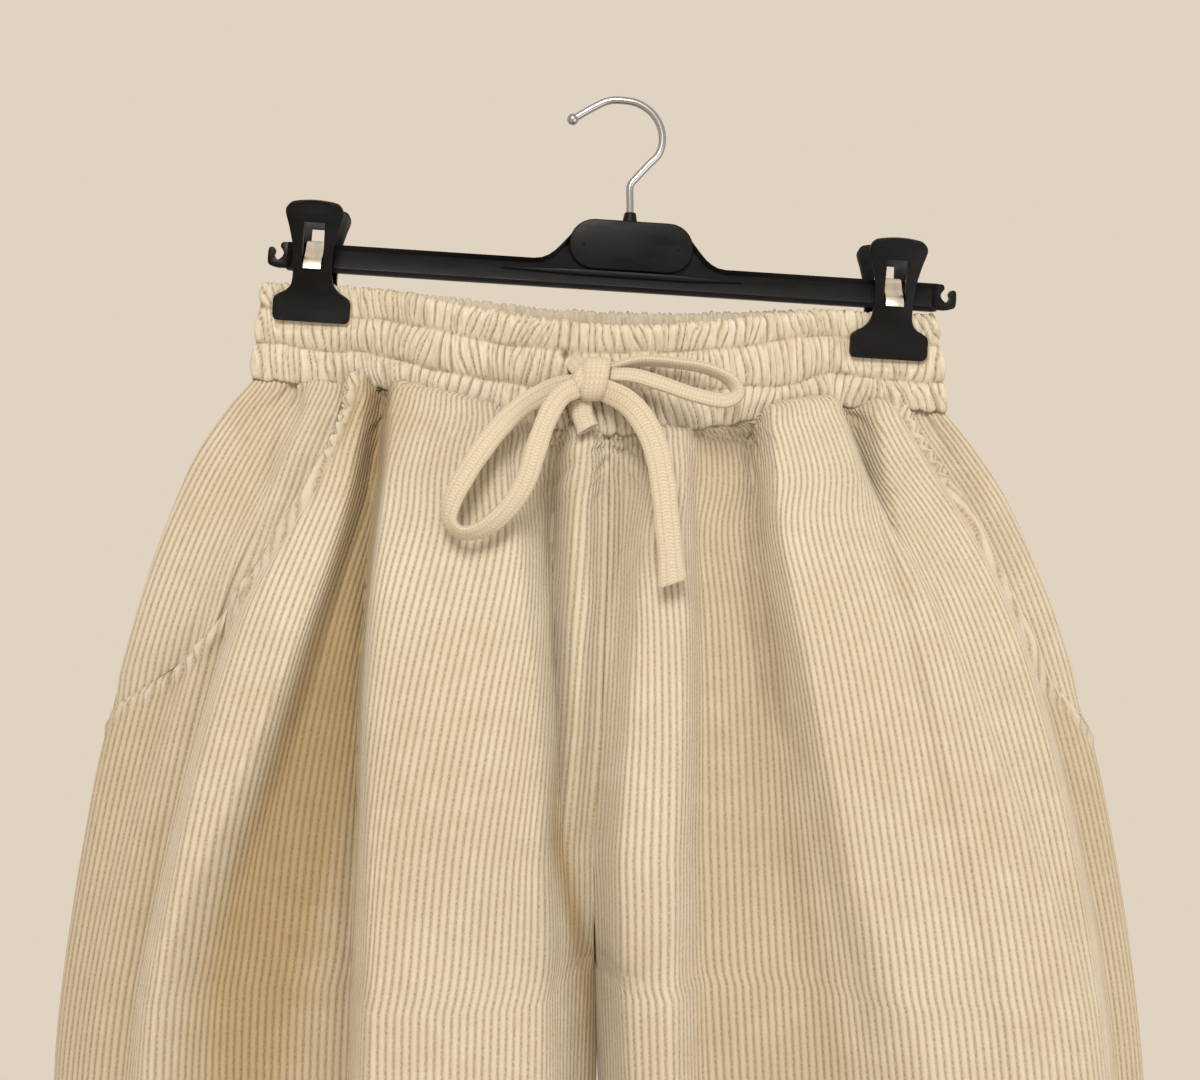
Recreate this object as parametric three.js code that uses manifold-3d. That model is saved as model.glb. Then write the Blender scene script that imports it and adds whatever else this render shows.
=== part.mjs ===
// Wide corduroy trousers with a gathered elastic waist and a drawstring bow, hung from a clip hanger.
// Millimetres, +Z up. The origin is where a nail carries the hanger's hook, and the front faces -Y.
// "right" and "left" in names are the wearer's: the wearer's right leg is on the -X side.
import * as THREE from 'three';
import Module from 'manifold-3d';

const wasm = await Module();
wasm.setup();

// Driving dimensions of the trousers
const clothWall = 2.0;
const seamGap = 0.3;
const bandSeamGap = 0.55;
const middleX = -13;
const waistHalf = 183;
const waistTaper = 0.03;
const bandTopMiddleZ = -104.3;
const bandSlope = -0.047;
const bandHeight = 50;
const bandMiddleExtra = 4.5;
const bandFrontSag = 15;
const bandBackSag = 6;
const bandWall = 3.0;
const pinchHalf = 2.2;
const pinchShare = 0.71;
const bodyTopZ = -160;
const hemZ = -1104;
const levelDepth = 260;
const crotchDown = 295;
const crotchRise = 110;
const legsFormDown = 140;
const legsFormedDown = 340;
const legGap = 1.2;
const roundness = 2.5;

// The hollow of the body at each distance below the band: half of the width, and how far its
// front and back lie from the plane of the side seams, before folds are added.
const girth = [
  { down: 0, half: waistHalf, front: 34, back: 12 },
  { down: 18, half: 198, front: 35, back: 14 },
  { down: 50, half: 218, front: 34, back: 18 },
  { down: 120, half: 245, front: 36, back: 25 },
  { down: 220, half: 270, front: 38, back: 31 },
  { down: 360, half: 288, front: 39, back: 34 },
  { down: 600, half: 290, front: 37, back: 35 },
  { down: 944, half: 285, front: 35, back: 35 },
];

// Folds that stand out from the cloth. Each has its left and right edge and its rise at the
// five heights, and how wide the flank is on each side at the top and at the hem.
const foldHeights = [-165, -280, -450, -700, -1104];
const frontFolds = [
  { name: 'side fold', left: [-176, -224, -280, -290, -290], right: [-137, -172, -236, -262, -262],
    rise: [8, 11, 4, 0, 0], flankLeft: [12, 20], flankRight: [14, 30] },
  { name: 'pocket fold', left: [-150, -208, -254, -266, -266], right: [-128, -146, -178, -202, -212],
    rise: [18, 29, 30, 29, 25], flankLeft: [14, 30], flankRight: [10, 76] },
  { name: 'large pleat', left: [-128, -138, -142, -146, -150], right: [-58, -37, -23, -18, -18],
    rise: [22, 34, 36, 31, 27], flankLeft: [10, 18], flankRight: [14, 30] },
  { name: 'tucked fold', left: [-86, -80, -72, -72, -72], right: [-46, -37, -36, -36, -36],
    rise: [13, 15, 3, 0, 0], flankLeft: [12, 14], flankRight: [14, 24] },
  { name: 'centre ridge', left: [-40, -38, -34, -34, -34], right: [-15, -15, -15, -15, -15],
    rise: [12, 11, 1, 0, 0], flankLeft: [12, 14], flankRight: [9, 12] },
  { name: 'inner ridge', left: [8, -12, -14, -14, -14], right: [36, 38, 42, 44, 50],
    rise: [10, 24, 31, 29, 26], flankLeft: [14, 18], flankRight: [12, 30] },
  { name: 'outer pleat', left: [66, 70, 84, 104, 114], right: [118, 170, 240, 262, 264],
    rise: [21, 32, 33, 29, 25], flankLeft: [9, 84], flankRight: [12, 34] },
  { name: 'side ridge', left: [121, 132, 164, 184, 192], right: [150, 212, 250, 264, 264],
    rise: [16, 28, 28, 26, 24], flankLeft: [12, 28], flankRight: [14, 28] },
];
const backFolds = [
  { name: 'back side ridge right', left: [-150, -212, -246, -258, -258], right: [-128, -160, -196, -205, -208],
    rise: [9, 12, 12, 11, 9], flankLeft: [9, 26], flankRight: [9, 30] },
  { name: 'back pleat right', left: [-100, -112, -130, -136, -140], right: [-62, -58, -62, -66, -72],
    rise: [10, 14, 14, 12, 10], flankLeft: [8, 30], flankRight: [8, 30] },
  { name: 'back centre right', left: [-42, -38, -40, -46, -46], right: [-20, -18, -22, -24, -24],
    rise: [8, 7, 4, 5, 5], flankLeft: [8, 16], flankRight: [6, 12] },
  { name: 'back centre left', left: [2, 0, 4, 8, 8], right: [26, 30, 34, 38, 38],
    rise: [8, 7, 4, 5, 5], flankLeft: [6, 12], flankRight: [8, 16] },
  { name: 'back pleat left', left: [48, 54, 66, 70, 76], right: [84, 104, 124, 132, 136],
    rise: [10, 14, 14, 12, 10], flankLeft: [8, 30], flankRight: [8, 30] },
  { name: 'back side ridge left', left: [106, 142, 178, 190, 194], right: [134, 192, 226, 238, 240],
    rise: [9, 12, 12, 11, 9], flankLeft: [9, 30], flankRight: [9, 26] },
];

// The slanted pocket mouths: where each crosses a row, as a share of the way from the centre line round
// to the side seam, at the distances below the band
const pocketMouths = {
  right: [{ down: 0, share: 0.442 }, { down: 40, share: 0.417 }, { down: 78, share: 0.462 },
    { down: 130, share: 0.58 }, { down: 152, share: 0.72 }, { down: 170, share: 0.97 }],
  left: [{ down: 0, share: 0.64 }, { down: 43, share: 0.63 }, { down: 81, share: 0.659 },
    { down: 130, share: 0.72 }, { down: 152, share: 0.81 }, { down: 170, share: 0.97 }],
};
const pocketRecess = 3.4;
const pocketFade = 25;

// The gathered waistband: three stitched rows, each puffed out between its seams
const rowShares = [0, 0.2, 0.4, 0.57, 0.74, 0.87, 1];
const rowPuffs = [0, 2.4, 0.2, 2.2, 0.2, 1.6, 0.5];
const gathersPerRow = 33;
const gatherRise = 1.5;

// The hanger, level in its own frame and then turned about the nail
const hangerTilt = THREE.MathUtils.degToRad(3.7);
const barHalf = 181;
const barTopZ = -85;
const barBottomZ = -99.8;
const barThick = 8;
const webThick = 3;
const flangeHigh = 2.6;
const hubX = 9;
const hubZ = -75.7;
const hubHalfWide = 33;
const hubHalfHigh = 13.3;
const hubThick = 9.4;
const wireRadius = 2;
const ballRadius = 3.1;
const wireClearance = 0.3;
const clipXs = { right: -157.8, left: 148 };
const jawWall = 2.6;
const springWide = 9.4;
const springThick = 0.9;

// Small functions for shapes
const clamp = (value, low = 0, high = 1) => Math.min(high, Math.max(low, value));
const mix = (a, b, share) => a + (b - a) * share;
const ease = (from, to, value) => {
  const q = clamp((value - from) / (to - from));
  return q * q * (3 - 2 * q);
};

// A smooth curve through a column of values, given at rising places
function smoothAt(places, values, at) {
  const last = places.length - 1;
  if (at <= places[0]) return values[0];
  if (at >= places[last]) return values[last];
  const i = places.findIndex((place, k) => k < last && at <= places[k + 1]);
  const slope = (k) => {
    const a = Math.max(0, k - 1);
    const b = Math.min(last, k + 1);
    return (values[b] - values[a]) / (places[b] - places[a]);
  };
  const long = places[i + 1] - places[i];
  const q = (at - places[i]) / long;
  const q2 = q * q;
  const q3 = q2 * q;
  return values[i] * (2 * q3 - 3 * q2 + 1) + values[i + 1] * (3 * q2 - 2 * q3)
    + long * (slope(i) * (q3 - 2 * q2 + q) + slope(i + 1) * (q3 - q2));
}
const girthAt = (column, down) => smoothAt(girth.map((row) => row.down), girth.map((row) => row[column]), down);
const foldDrops = foldHeights.map((z) => -z);
const foldAt = (values, z) => smoothAt(foldDrops, values, -z);
const flankAt = (flank, z) => mix(flank[0], flank[1], ease(-foldDrops[0], foldHeights[3], z));

// Heights of the band's two edges at a place along X. side is -1 on the front and 1 on the back.
function bandSag(x) {
  const share = clamp(Math.abs(x - middleX) / (waistHalf * pinchShare));
  return Math.pow(1 - share * share, 1.7);
}
function bandTop(x, side) {
  return bandTopMiddleZ + bandSlope * (x - middleX) - (side < 0 ? bandFrontSag : bandBackSag) * bandSag(x);
}
const bandBottom = (x, side) => bandTop(x, side) - bandHeight - bandMiddleExtra * bandSag(x);

// How far the band lies from the seam plane: pinched at the clips, bowed between them, round at its ends
function bandDepth(x, half, deep) {
  const out = Math.abs(x);
  const share = clamp(out / (half * pinchShare));
  const bow = pinchHalf + (deep - pinchHalf) * Math.pow(1 - share * share, 1.4);
  const end = clamp((out - (half - pinchHalf)) / pinchHalf);
  return bow * Math.sqrt(1 - end * end);
}

// How far the folds stand out at a place on the front or back
function foldRise(x, z, side) {
  let total = 0;
  for (const fold of side < 0 ? frontFolds : backFolds) {
    const left = foldAt(fold.left, z);
    const right = foldAt(fold.right, z);
    const up = ease(0, flankAt(fold.flankLeft, z), x - left);
    const down = ease(0, flankAt(fold.flankRight, z), right - x);
    const crown = 1 - 0.12 * Math.pow((2 * x - left - right) / (right - left), 2);
    total += Math.pow(Math.max(0, foldAt(fold.rise, z) * up * down * crown), 4);
  }
  return Math.pow(total, 0.25);
}

// A point of the cloth's middle layer. share runs from the centre seam or inseam, 0, to the side seam, 1;
// down is the distance below the band; leg is -1 on the wearer's right and 1 on the left.
function clothPoint(share, down, side, leg) {
  const half = girthAt('half', down);
  const deep = girthAt(side < 0 ? 'front' : 'back', down);
  const power = 2 / roundness;
  const turn = (share * Math.PI) / 2;
  const torso = {
    x: half * Math.pow(Math.sin(turn), power),
    y: deep * Math.pow(Math.max(0, Math.cos(turn)), power),
  };
  const cosine = Math.cos(2 * turn);
  const lobe = {
    x: (half / 2) * (1 - Math.sign(cosine) * Math.pow(Math.abs(cosine), power)),
    y: deep * Math.pow(Math.max(0, Math.sin(2 * turn)), power),
  };
  const rise = clamp((crotchDown - down) / crotchRise);
  const split = 1 - Math.sqrt(1 - (1 - rise) * (1 - rise));
  const apart = mix(split, ease(legsFormDown, legsFormedDown, down), ease(0, 0.4, share));
  const inner = seamGap / 2 + split * (clothWall / 2) + legGap * ease(crotchDown, crotchDown + 100, down);
  const out = mix(torso.x, lobe.x, apart);
  const x = middleX + leg * (inner + (out * (half - inner)) / half);
  const round = mix(torso.y, lobe.y, apart);
  const depth = mix(bandDepth(out, half, deep), round, ease(0, 130, down));
  const level = 1 - ease(0, levelDepth, down);
  const z = bodyTopZ - down + (bandBottom(x, side) - bandSeamGap - bodyTopZ) * level;
  const start = mix(0.12, 1, ease(0, 14, down));
  const fade = ease(0, 0.6, round / deep);
  const stand = foldRise(x, z, side) * start * fade;
  return new THREE.Vector3(x, side * (depth + stand), z);
}

// The points of one row of cloth between two shares of the way round to the side seam. A full row is evenly
// spaced along the cloth, so that its columns follow the wales; a row that ends at the pocket mouth draws
// its columns in towards that edge.
function clothRow(down, side, leg, count, inside = 0, outside = 1) {
  const samples = 300;
  const line = [];
  for (let i = 0; i <= samples; i += 1) line.push(clothPoint(i / samples, down, side, leg));
  const along = [0];
  for (let i = 1; i <= samples; i += 1) along.push(along[i - 1] + line[i].distanceTo(line[i - 1]));
  const total = along[samples];
  const lengthTo = (share) => {
    const i = Math.min(samples - 1, Math.floor(share * samples));
    return mix(along[i], along[i + 1], share * samples - i);
  };
  const from = lengthTo(inside);
  const to = lengthTo(outside);
  const row = [];
  let k = 0;
  for (let j = 0; j <= count; j += 1) {
    const share = j / count;
    const want = from + (total - from) * share - (total - to) * share * share;
    while (k < samples - 1 && along[k + 1] < want) k += 1;
    const step = along[k + 1] - along[k];
    row.push(line[k].clone().lerp(line[k + 1], clamp((want - along[k]) / step)));
  }
  return row;
}

// Normals of a grid of points, pointing away from the body's middle
function gridNormals(grid, side) {
  const normals = grid.map((row, i) => row.map((point, j) => {
    const down = grid[Math.min(i + 1, grid.length - 1)][j].clone().sub(grid[Math.max(i - 1, 0)][j]);
    const across = row[Math.min(j + 1, row.length - 1)].clone().sub(row[Math.max(j - 1, 0)]);
    return across.cross(down).normalize();
  }));
  let facing = 0;
  for (const normal of normals.flat()) facing += normal.y * side;
  if (facing < 0) normals.flat().forEach((normal) => normal.negate());
  return normals;
}

// A closed wall between two grids of points. The inner grid may have only its first and last row.
function wallGeometry(outer, inner) {
  const rows = outer.length;
  const columns = outer[0].length;
  const innerRows = inner.length;
  const points = [...outer.flat(), ...inner.flat()];
  const out = (i, j) => i * columns + j;
  const into = (i, j) => rows * columns + i * columns + j;
  const triangles = [];
  const quad = (a, b, c, d) => triangles.push([a, b, c], [a, c, d]);
  const facing = (a, b, c) => (
    points[b].clone().sub(points[a]).cross(points[c].clone().sub(points[a])).normalize()
  );
  const bend = (a, b, c, d) => facing(a, b, c).dot(facing(a, c, d));
  // Each cell is split along the diagonal that leaves its two halves flattest
  const cell = (a, b, c, d) => (bend(a, b, c, d) >= bend(b, c, d, a) ? quad(a, b, c, d) : quad(b, c, d, a));
  for (let i = 0; i < rows - 1; i += 1) {
    for (let j = 0; j < columns - 1; j += 1) cell(out(i, j), out(i, j + 1), out(i + 1, j + 1), out(i + 1, j));
  }
  for (let i = 0; i < innerRows - 1; i += 1) {
    for (let j = 0; j < columns - 1; j += 1) cell(into(i, j), into(i + 1, j), into(i + 1, j + 1), into(i, j + 1));
  }
  for (let j = 0; j < columns - 1; j += 1) {
    quad(out(0, j), into(0, j), into(0, j + 1), out(0, j + 1));
    quad(out(rows - 1, j + 1), into(innerRows - 1, j + 1), into(innerRows - 1, j), out(rows - 1, j));
  }
  for (const [j, first, second] of [[0, 0, 1], [columns - 1, 1, 0]]) {
    if (innerRows === rows) {
      for (let i = 0; i < rows - 1; i += 1) {
        quad(out(i + first, j), out(i + second, j), into(i + second, j), into(i + first, j));
      }
    } else {
      for (let i = 0; i < rows - 1; i += 1) triangles.push([into(0, j), out(i + first, j), out(i + second, j)]);
      const last = [into(0, j), out(rows - 1, j), into(1, j)];
      triangles.push(first === 0 ? last : last.reverse());
    }
  }
  return closedGeometry(points, triangles);
}

// A geometry from points and triangles, turned so that its faces point out
function closedGeometry(points, triangles) {
  let volume = 0;
  for (const [a, b, c] of triangles) volume += points[a].dot(points[b].clone().cross(points[c]));
  const faces = volume < 0 ? triangles.map(([a, b, c]) => [a, c, b]) : triangles;
  const geometry = new THREE.BufferGeometry();
  geometry.setAttribute('position', new THREE.Float32BufferAttribute(points.flatMap((p) => [p.x, p.y, p.z]), 3));
  geometry.setIndex(faces.flat());
  geometry.computeVertexNormals();
  return geometry;
}

// A cloth wall from a grid of its middle layer, kept on its own side of the seam plane and centre plane
function clothWallGeometry(grid, side, leg, recess = () => 0, normals = gridNormals(grid, side)) {
  const moved = (offset) => grid.map((row, i) => row.map((point, j) => {
    const place = point.clone().addScaledVector(normals[i][j], offset + recess(point, i));
    place.y = side * Math.max(seamGap / 2, side * place.y);
    place.x = middleX + leg * Math.max(seamGap / 2, leg * (place.x - middleX));
    if (i === 0 || i === grid.length - 1) place.z = point.z;
    return place;
  }));
  return wallGeometry(moved(clothWall / 2), moved(-clothWall / 2));
}

// Distances below the band at which rows of cloth are laid, closer together near the top
function rowDrops(count, from, to) {
  return Array.from({ length: count + 1 }, (_, k) => from + (to - from) * Math.pow(k / count, 1.45));
}

// Where the pocket mouth crosses the row at a distance below the band
function mouthShare(leg, down) {
  const mouth = leg < 0 ? pocketMouths.right : pocketMouths.left;
  return smoothAt(mouth.map((row) => row.down), mouth.map((row) => row.share), down);
}

const frontColumns = 32;
const mouthRows = 9;
const mouthEndDown = 170;
const frontDrops = [
  ...rowDrops(mouthRows, 0, mouthEndDown),
  ...rowDrops(12, mouthEndDown + 3, bodyTopZ - hemZ),
];

function frontRows(leg) {
  return frontDrops.map((down, i) => (
    clothRow(down, -1, leg, frontColumns, 0, i <= mouthRows ? mouthShare(leg, down) : 1)
  ));
}

function frontPanel(leg) {
  return clothWallGeometry(frontRows(leg), -1, leg);
}

function backPanel(leg) {
  const drops = rowDrops(16, 0, bodyTopZ - hemZ);
  return clothWallGeometry(drops.map((down) => clothRow(down, 1, leg, 18)), 1, leg);
}

// The side piece that shows behind the pocket mouth. Its first two columns lie straight under the front
// panel's last two, so that the panel's edge stands over it with an even gap.
function pocketPiece(leg) {
  const panel = frontRows(leg);
  const panelNormals = gridNormals(panel, -1);
  const columns = 7;
  const edge = frontColumns;
  const grid = panel.slice(0, mouthRows + 1).map((row, i) => {
    const open = clothRow(frontDrops[i], -1, leg, columns - 1, mouthShare(leg, frontDrops[i]));
    return [row[edge - 1], row[edge], ...open.slice(1)];
  });
  const normals = gridNormals(grid, -1);
  for (let i = 0; i <= mouthRows; i += 1) {
    normals[i][0] = panelNormals[i][edge - 1];
    normals[i][1] = panelNormals[i][edge];
  }
  const recess = (point, i) => {
    const deep = pocketRecess + (i === mouthRows ? 1.2 : 0);
    return -deep * (1 - ease(4, pocketFade, point.distanceTo(panel[i][edge])));
  };
  return clothWallGeometry(grid, -1, leg, recess, normals);
}

// Half of the waistband, from one side seam to the other
function waistband(side) {
  const columns = gathersPerRow * 2;
  const deep = girthAt(side < 0 ? 'front' : 'back', 0);
  const middle = [];
  for (let i = 0; i <= 400; i += 1) {
    const turn = -Math.PI / 2 + (Math.PI * i) / 400;
    const x = waistHalf * Math.sign(turn) * Math.pow(Math.abs(Math.sin(turn)), 2 / roundness);
    middle.push(new THREE.Vector3(middleX + x, side * bandDepth(x, waistHalf, deep), 0));
  }
  const curve = new THREE.CatmullRomCurve3(middle, false, 'centripetal');
  curve.arcLengthDivisions = 1600;
  const line = curve.getSpacedPoints(columns);
  const normals = line.map((point, j) => {
    const ahead = line[Math.min(j + 1, columns)].clone().sub(line[Math.max(j - 1, 0)]);
    return new THREE.Vector3(-ahead.y, ahead.x, 0).normalize().multiplyScalar(side);
  });
  normals[0].set(-1, 0, 0);
  normals[columns].set(1, 0, 0);
  const place = (j, share, offset) => {
    const at = line[j].clone().addScaledVector(normals[j], offset);
    at.x = middleX + (at.x - middleX) * (1 - waistTaper * share);
    at.z = mix(bandBottom(line[j].x, side), bandTop(line[j].x, side), share);
    at.y = side * Math.max(seamGap / 2, side * at.y);
    return at;
  };
  const pressed = (x) => {
    const spread = Math.min(Math.abs(x - clipXs.right + 6), Math.abs(x - clipXs.left + 6));
    return mix(0.3, 1, ease(24, 36, spread));
  };
  const outer = rowShares.map((share, i) => line.map((point, j) => {
    const row = Math.floor((i + 1) / 2);
    const ridge = (j + row) % 2 === 0 && i % 2 === 1 ? gatherRise : 0;
    const end = ease(0, 3, Math.min(j, columns - j));
    return place(j, share, bandWall / 2 + (rowPuffs[i] + ridge) * end * pressed(point.x));
  }));
  const inner = [0, 1].map((share) => line.map((point, j) => place(j, share, -bandWall / 2)));
  return wallGeometry(outer, inner);
}

// Conversions between geometries and solids that can be cut and joined
function toSolid(geometry) {
  const source = geometry.index ? geometry : geometry;
  const position = source.getAttribute('position');
  const keys = new Map();
  const points = [];
  const remap = [];
  for (let i = 0; i < position.count; i += 1) {
    const key = [position.getX(i), position.getY(i), position.getZ(i)].map((v) => v.toFixed(4)).join();
    if (!keys.has(key)) {
      keys.set(key, points.length / 3);
      points.push(position.getX(i), position.getY(i), position.getZ(i));
    }
    remap.push(keys.get(key));
  }
  const index = source.index ? Array.from(source.index.array) : Array.from({ length: position.count }, (_, i) => i);
  const triangles = [];
  for (let i = 0; i < index.length; i += 3) {
    const [a, b, c] = [remap[index[i]], remap[index[i + 1]], remap[index[i + 2]]];
    if (a !== b && b !== c && c !== a) triangles.push(a, b, c);
  }
  const mesh = new wasm.Mesh({
    numProp: 3,
    vertProperties: new Float32Array(points),
    triVerts: new Uint32Array(triangles),
  });
  return new wasm.Manifold(mesh);
}
function fromSolid(solid) {
  const mesh = solid.getMesh();
  const geometry = new THREE.BufferGeometry();
  geometry.setAttribute('position', new THREE.Float32BufferAttribute(mesh.vertProperties, 3));
  geometry.setIndex(Array.from(mesh.triVerts));
  geometry.computeVertexNormals();
  return geometry;
}

// An outline in the plane of the hanger, given thickness along Y and centred on the seam plane
function plate(shape, thick, curveSegments = 6) {
  const geometry = new THREE.ExtrudeGeometry(shape, { depth: thick, bevelEnabled: false, curveSegments });
  geometry.rotateX(Math.PI / 2);
  geometry.translate(0, thick / 2, 0);
  return geometry;
}

function stadium(centreX, centreZ, halfWide, halfHigh) {
  const shape = new THREE.Shape();
  const reach = halfWide - halfHigh;
  shape.absarc(centreX + reach, centreZ, halfHigh, -Math.PI / 2, Math.PI / 2, false);
  shape.absarc(centreX - reach, centreZ, halfHigh, Math.PI / 2, (3 * Math.PI) / 2, false);
  return shape;
}

// The bar's outline: straight, with shoulders up to the hub and a strap notch at each end
function barOutline(inset) {
  const top = barTopZ - inset;
  const bottom = barBottomZ + inset;
  const end = barHalf - 8 - inset;
  const hubTop = hubZ + hubHalfHigh - inset;
  const shoulder = 26;
  const reach = hubHalfWide - 8 - inset;
  const shape = new THREE.Shape();
  shape.moveTo(-end, bottom);
  shape.lineTo(end, bottom);
  shape.lineTo(end, top);
  shape.lineTo(hubX + reach + shoulder, top);
  shape.bezierCurveTo(hubX + reach + 11, top, hubX + reach + 8, hubTop, hubX + reach - 8, hubTop);
  shape.lineTo(hubX - reach + 8, hubTop);
  shape.bezierCurveTo(hubX - reach - 8, hubTop, hubX - reach - 11, top, hubX - reach - shoulder, top);
  shape.lineTo(-end, top);
  shape.closePath();
  return shape;
}

// A curled end that a strap loop hangs in, on the side that sign gives
function strapHook(sign) {
  const shape = new THREE.Shape();
  const root = barHalf - 9;
  const tipZ = barTopZ - 3;
  shape.moveTo(sign * root, barBottomZ + 1);
  shape.lineTo(sign * (barHalf - 3), barBottomZ + 1);
  shape.quadraticCurveTo(sign * (barHalf + 2.5), barBottomZ + 2, sign * (barHalf + 2.5), barBottomZ + 7);
  shape.quadraticCurveTo(sign * (barHalf + 2.3), tipZ, sign * (barHalf - 0.2), tipZ);
  shape.quadraticCurveTo(sign * (barHalf - 1.6), tipZ - 2, sign * (barHalf - 0.6), barBottomZ + 7.4);
  shape.quadraticCurveTo(sign * (barHalf - 2.4), barBottomZ + 4.4, sign * (barHalf - 5), barBottomZ + 6.6);
  shape.quadraticCurveTo(sign * (barHalf - 6.4), barBottomZ + 9, sign * (barHalf - 4), barTopZ - 2.6);
  shape.quadraticCurveTo(sign * (barHalf - 4.4), barTopZ, sign * root, barTopZ);
  shape.closePath();
  return shape;
}

const shankX = hubX - 1.4;
const bossTopZ = hubZ + hubHalfHigh + 5;
const shankEndZ = hubZ + 6;

function hangerBar() {
  let solid = toSolid(plate(barOutline(0), barThick));
  const recess = toSolid(plate(barOutline(flangeHigh), barThick));
  const depth = (barThick + webThick) / 2;
  solid = solid.subtract(recess.translate([0, -depth, 0])).subtract(recess.translate([0, depth, 0]));
  for (const sign of [-1, 1]) solid = solid.add(toSolid(plate(strapHook(sign), barThick - 3, 3)));
  solid = solid.add(toSolid(plate(stadium(hubX, hubZ, hubHalfWide, hubHalfHigh), hubThick, 8)));
  const bossProfile = [[0, 0], [4.4, 0], [4.2, 4], [3.1, 7.4], [0, 7.4]].map(([r, z]) => new THREE.Vector2(r, z));
  const boss = new THREE.LatheGeometry(bossProfile, 16);
  boss.rotateX(Math.PI / 2);
  boss.translate(shankX, 0, bossTopZ - 7.4);
  solid = solid.add(toSolid(boss));
  const bore = new THREE.CylinderGeometry(wireRadius + wireClearance, wireRadius + wireClearance, 30, 16);
  bore.rotateX(Math.PI / 2);
  bore.translate(shankX, 0, shankEndZ - wireClearance + 15);
  return fromSolid(solid.subtract(toSolid(bore)));
}

// The chromed wire: up from the hub, out to the side, over the nail and down to a ball end
function hangerHook() {
  const route = [
    [shankX, shankEndZ], [shankX, -66], [shankX - 0.4, -54], [shankX - 1, -47], [shankX - 0.8, -42.5],
    [shankX + 1.8, -39], [15.5, -31.6], [20.6, -25.6], [22.2, -18.6], [20.6, -10.6], [15.6, -3.6], [8.2, 0.8],
    [0, wireRadius], [-8, 1.2], [-16, -3], [-25.6, -9.4],
  ];
  const path = new THREE.CatmullRomCurve3(route.map(([x, z]) => new THREE.Vector3(x, 0, z)), false, 'centripetal');
  const section = new THREE.Shape();
  section.absarc(0, 0, wireRadius, 0, 2 * Math.PI, false);
  const wire = new THREE.ExtrudeGeometry(section, { steps: 42, extrudePath: path, curveSegments: 5 });
  const ball = new THREE.SphereGeometry(ballRadius, 14, 10);
  ball.translate(-26.2, 0, -9.8);
  return fromSolid(toSolid(wire).add(toSolid(ball)));
}

// One jaw of a clip, standing off the seam plane by the distances in its side profile
const jawProfile = [
  { z: -127, away: 5.5, half: 20.2 },
  { z: -120, away: 5.5, half: 20.4 },
  { z: -114, away: 5.7, half: 19.6 },
  { z: -110.5, away: 6.2, half: 14 },
  { z: -106, away: 7.6, half: 10.8 },
  { z: -98, away: 9.6, half: 9.9 },
  { z: -88, away: 11.4, half: 10.4 },
  { z: -77, away: 13, half: 12.6 },
  { z: -70, away: 14.6, half: 14.4 },
  { z: -66, away: 15.8, half: 14 },
  { z: -64.4, away: 16.4, half: 11.4 },
];
const windowTopZ = -75;
const windowBottomZ = -96;
const windowHalf = 5.4;

function clipJaw(side) {
  const across = [-1, -0.8, -0.3, 0.3, 0.8, 1];
  const face = (extra) => jawProfile.map((row) => across.map((share) => {
    const lift = 0.6 * (1 - share * share);
    return new THREE.Vector3(row.half * share, side * (row.away + extra + (extra > 0 ? lift : 0)), row.z);
  }));
  const jaw = toSolid(wallGeometry(face(jawWall), face(0)));
  const cut = new THREE.BoxGeometry(windowHalf * 2, 30, windowTopZ - windowBottomZ);
  cut.translate(0, side * 12, (windowTopZ + windowBottomZ) / 2);
  return fromSolid(jaw.subtract(toSolid(cut)));
}

// The clip's spring: a steel band over the bar, out through both windows and gripping the jaws
function clipSpring() {
  const route = [[15.4, -99.6], [13.6, -95], [10.4, -92], [7.6, -88.6], [5.2, barTopZ + 0.75]];
  const line = [...route.map(([y, z]) => [y, z]), ...route.map(([y, z]) => [-y, z]).reverse()];
  const across = (i) => {
    const a = line[Math.max(i - 1, 0)];
    const b = line[Math.min(i + 1, line.length - 1)];
    const long = Math.hypot(b[0] - a[0], b[1] - a[1]);
    return [-(b[1] - a[1]) / long, (b[0] - a[0]) / long];
  };
  const strip = (offset) => line.map(([y, z], i) => {
    const [ny, nz] = across(i);
    return [y + (ny * offset * springThick) / 2, z + (nz * offset * springThick) / 2];
  });
  const face = (offset) => [-1, 1].map((sign) => strip(offset).map(([y, z]) => (
    new THREE.Vector3((sign * springWide) / 2, y, z)
  )));
  return wallGeometry(face(1), face(-1));
}

// The drawstring: a flat knitted tube, tied in a bow in front of the band. Each row of a route is a point
// of its middle line and how far the flat side is turned away from the viewer there, in degrees.
const cordWide = 11.5;
const cordThick = 4.4;
const knotCentre = new THREE.Vector3(-17.5, -50, -147.6);
const loopRightRoute = [
  [-26.6, -46.5, -150, 10], [-38, -49, -152.5, 5], [-54.5, -57, -162, 0], [-68.5, -68, -176.5, 0],
  [-80.5, -72.5, -194, 10], [-87.4, -73.5, -208, 25], [-88.2, -73.5, -217.5, 50], [-82, -74.5, -222.6, 55],
  [-71.2, -74.5, -220, 40], [-59.8, -74, -210.5, 20], [-51.4, -73.5, -197, 10], [-46.2, -71, -181, 5],
  [-40.6, -66, -166, 5], [-34, -59.5, -156, 8], [-26.6, -55, -152, 10],
];
const loopLeftRoute = [
  [-9, -45.6, -142.6, 60], [5.6, -47, -138.4, 64], [24.5, -48, -139.6, 66], [40, -49, -142.6, 62],
  [50.4, -51.5, -148.2, 58], [53, -56.5, -155.2, 50], [45.6, -60.5, -158.4, 42], [31, -60.5, -155.4, 38],
  [15.6, -57.5, -150, 38], [2.4, -54, -146, 42], [-9, -51.8, -145.2, 48],
];
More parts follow.
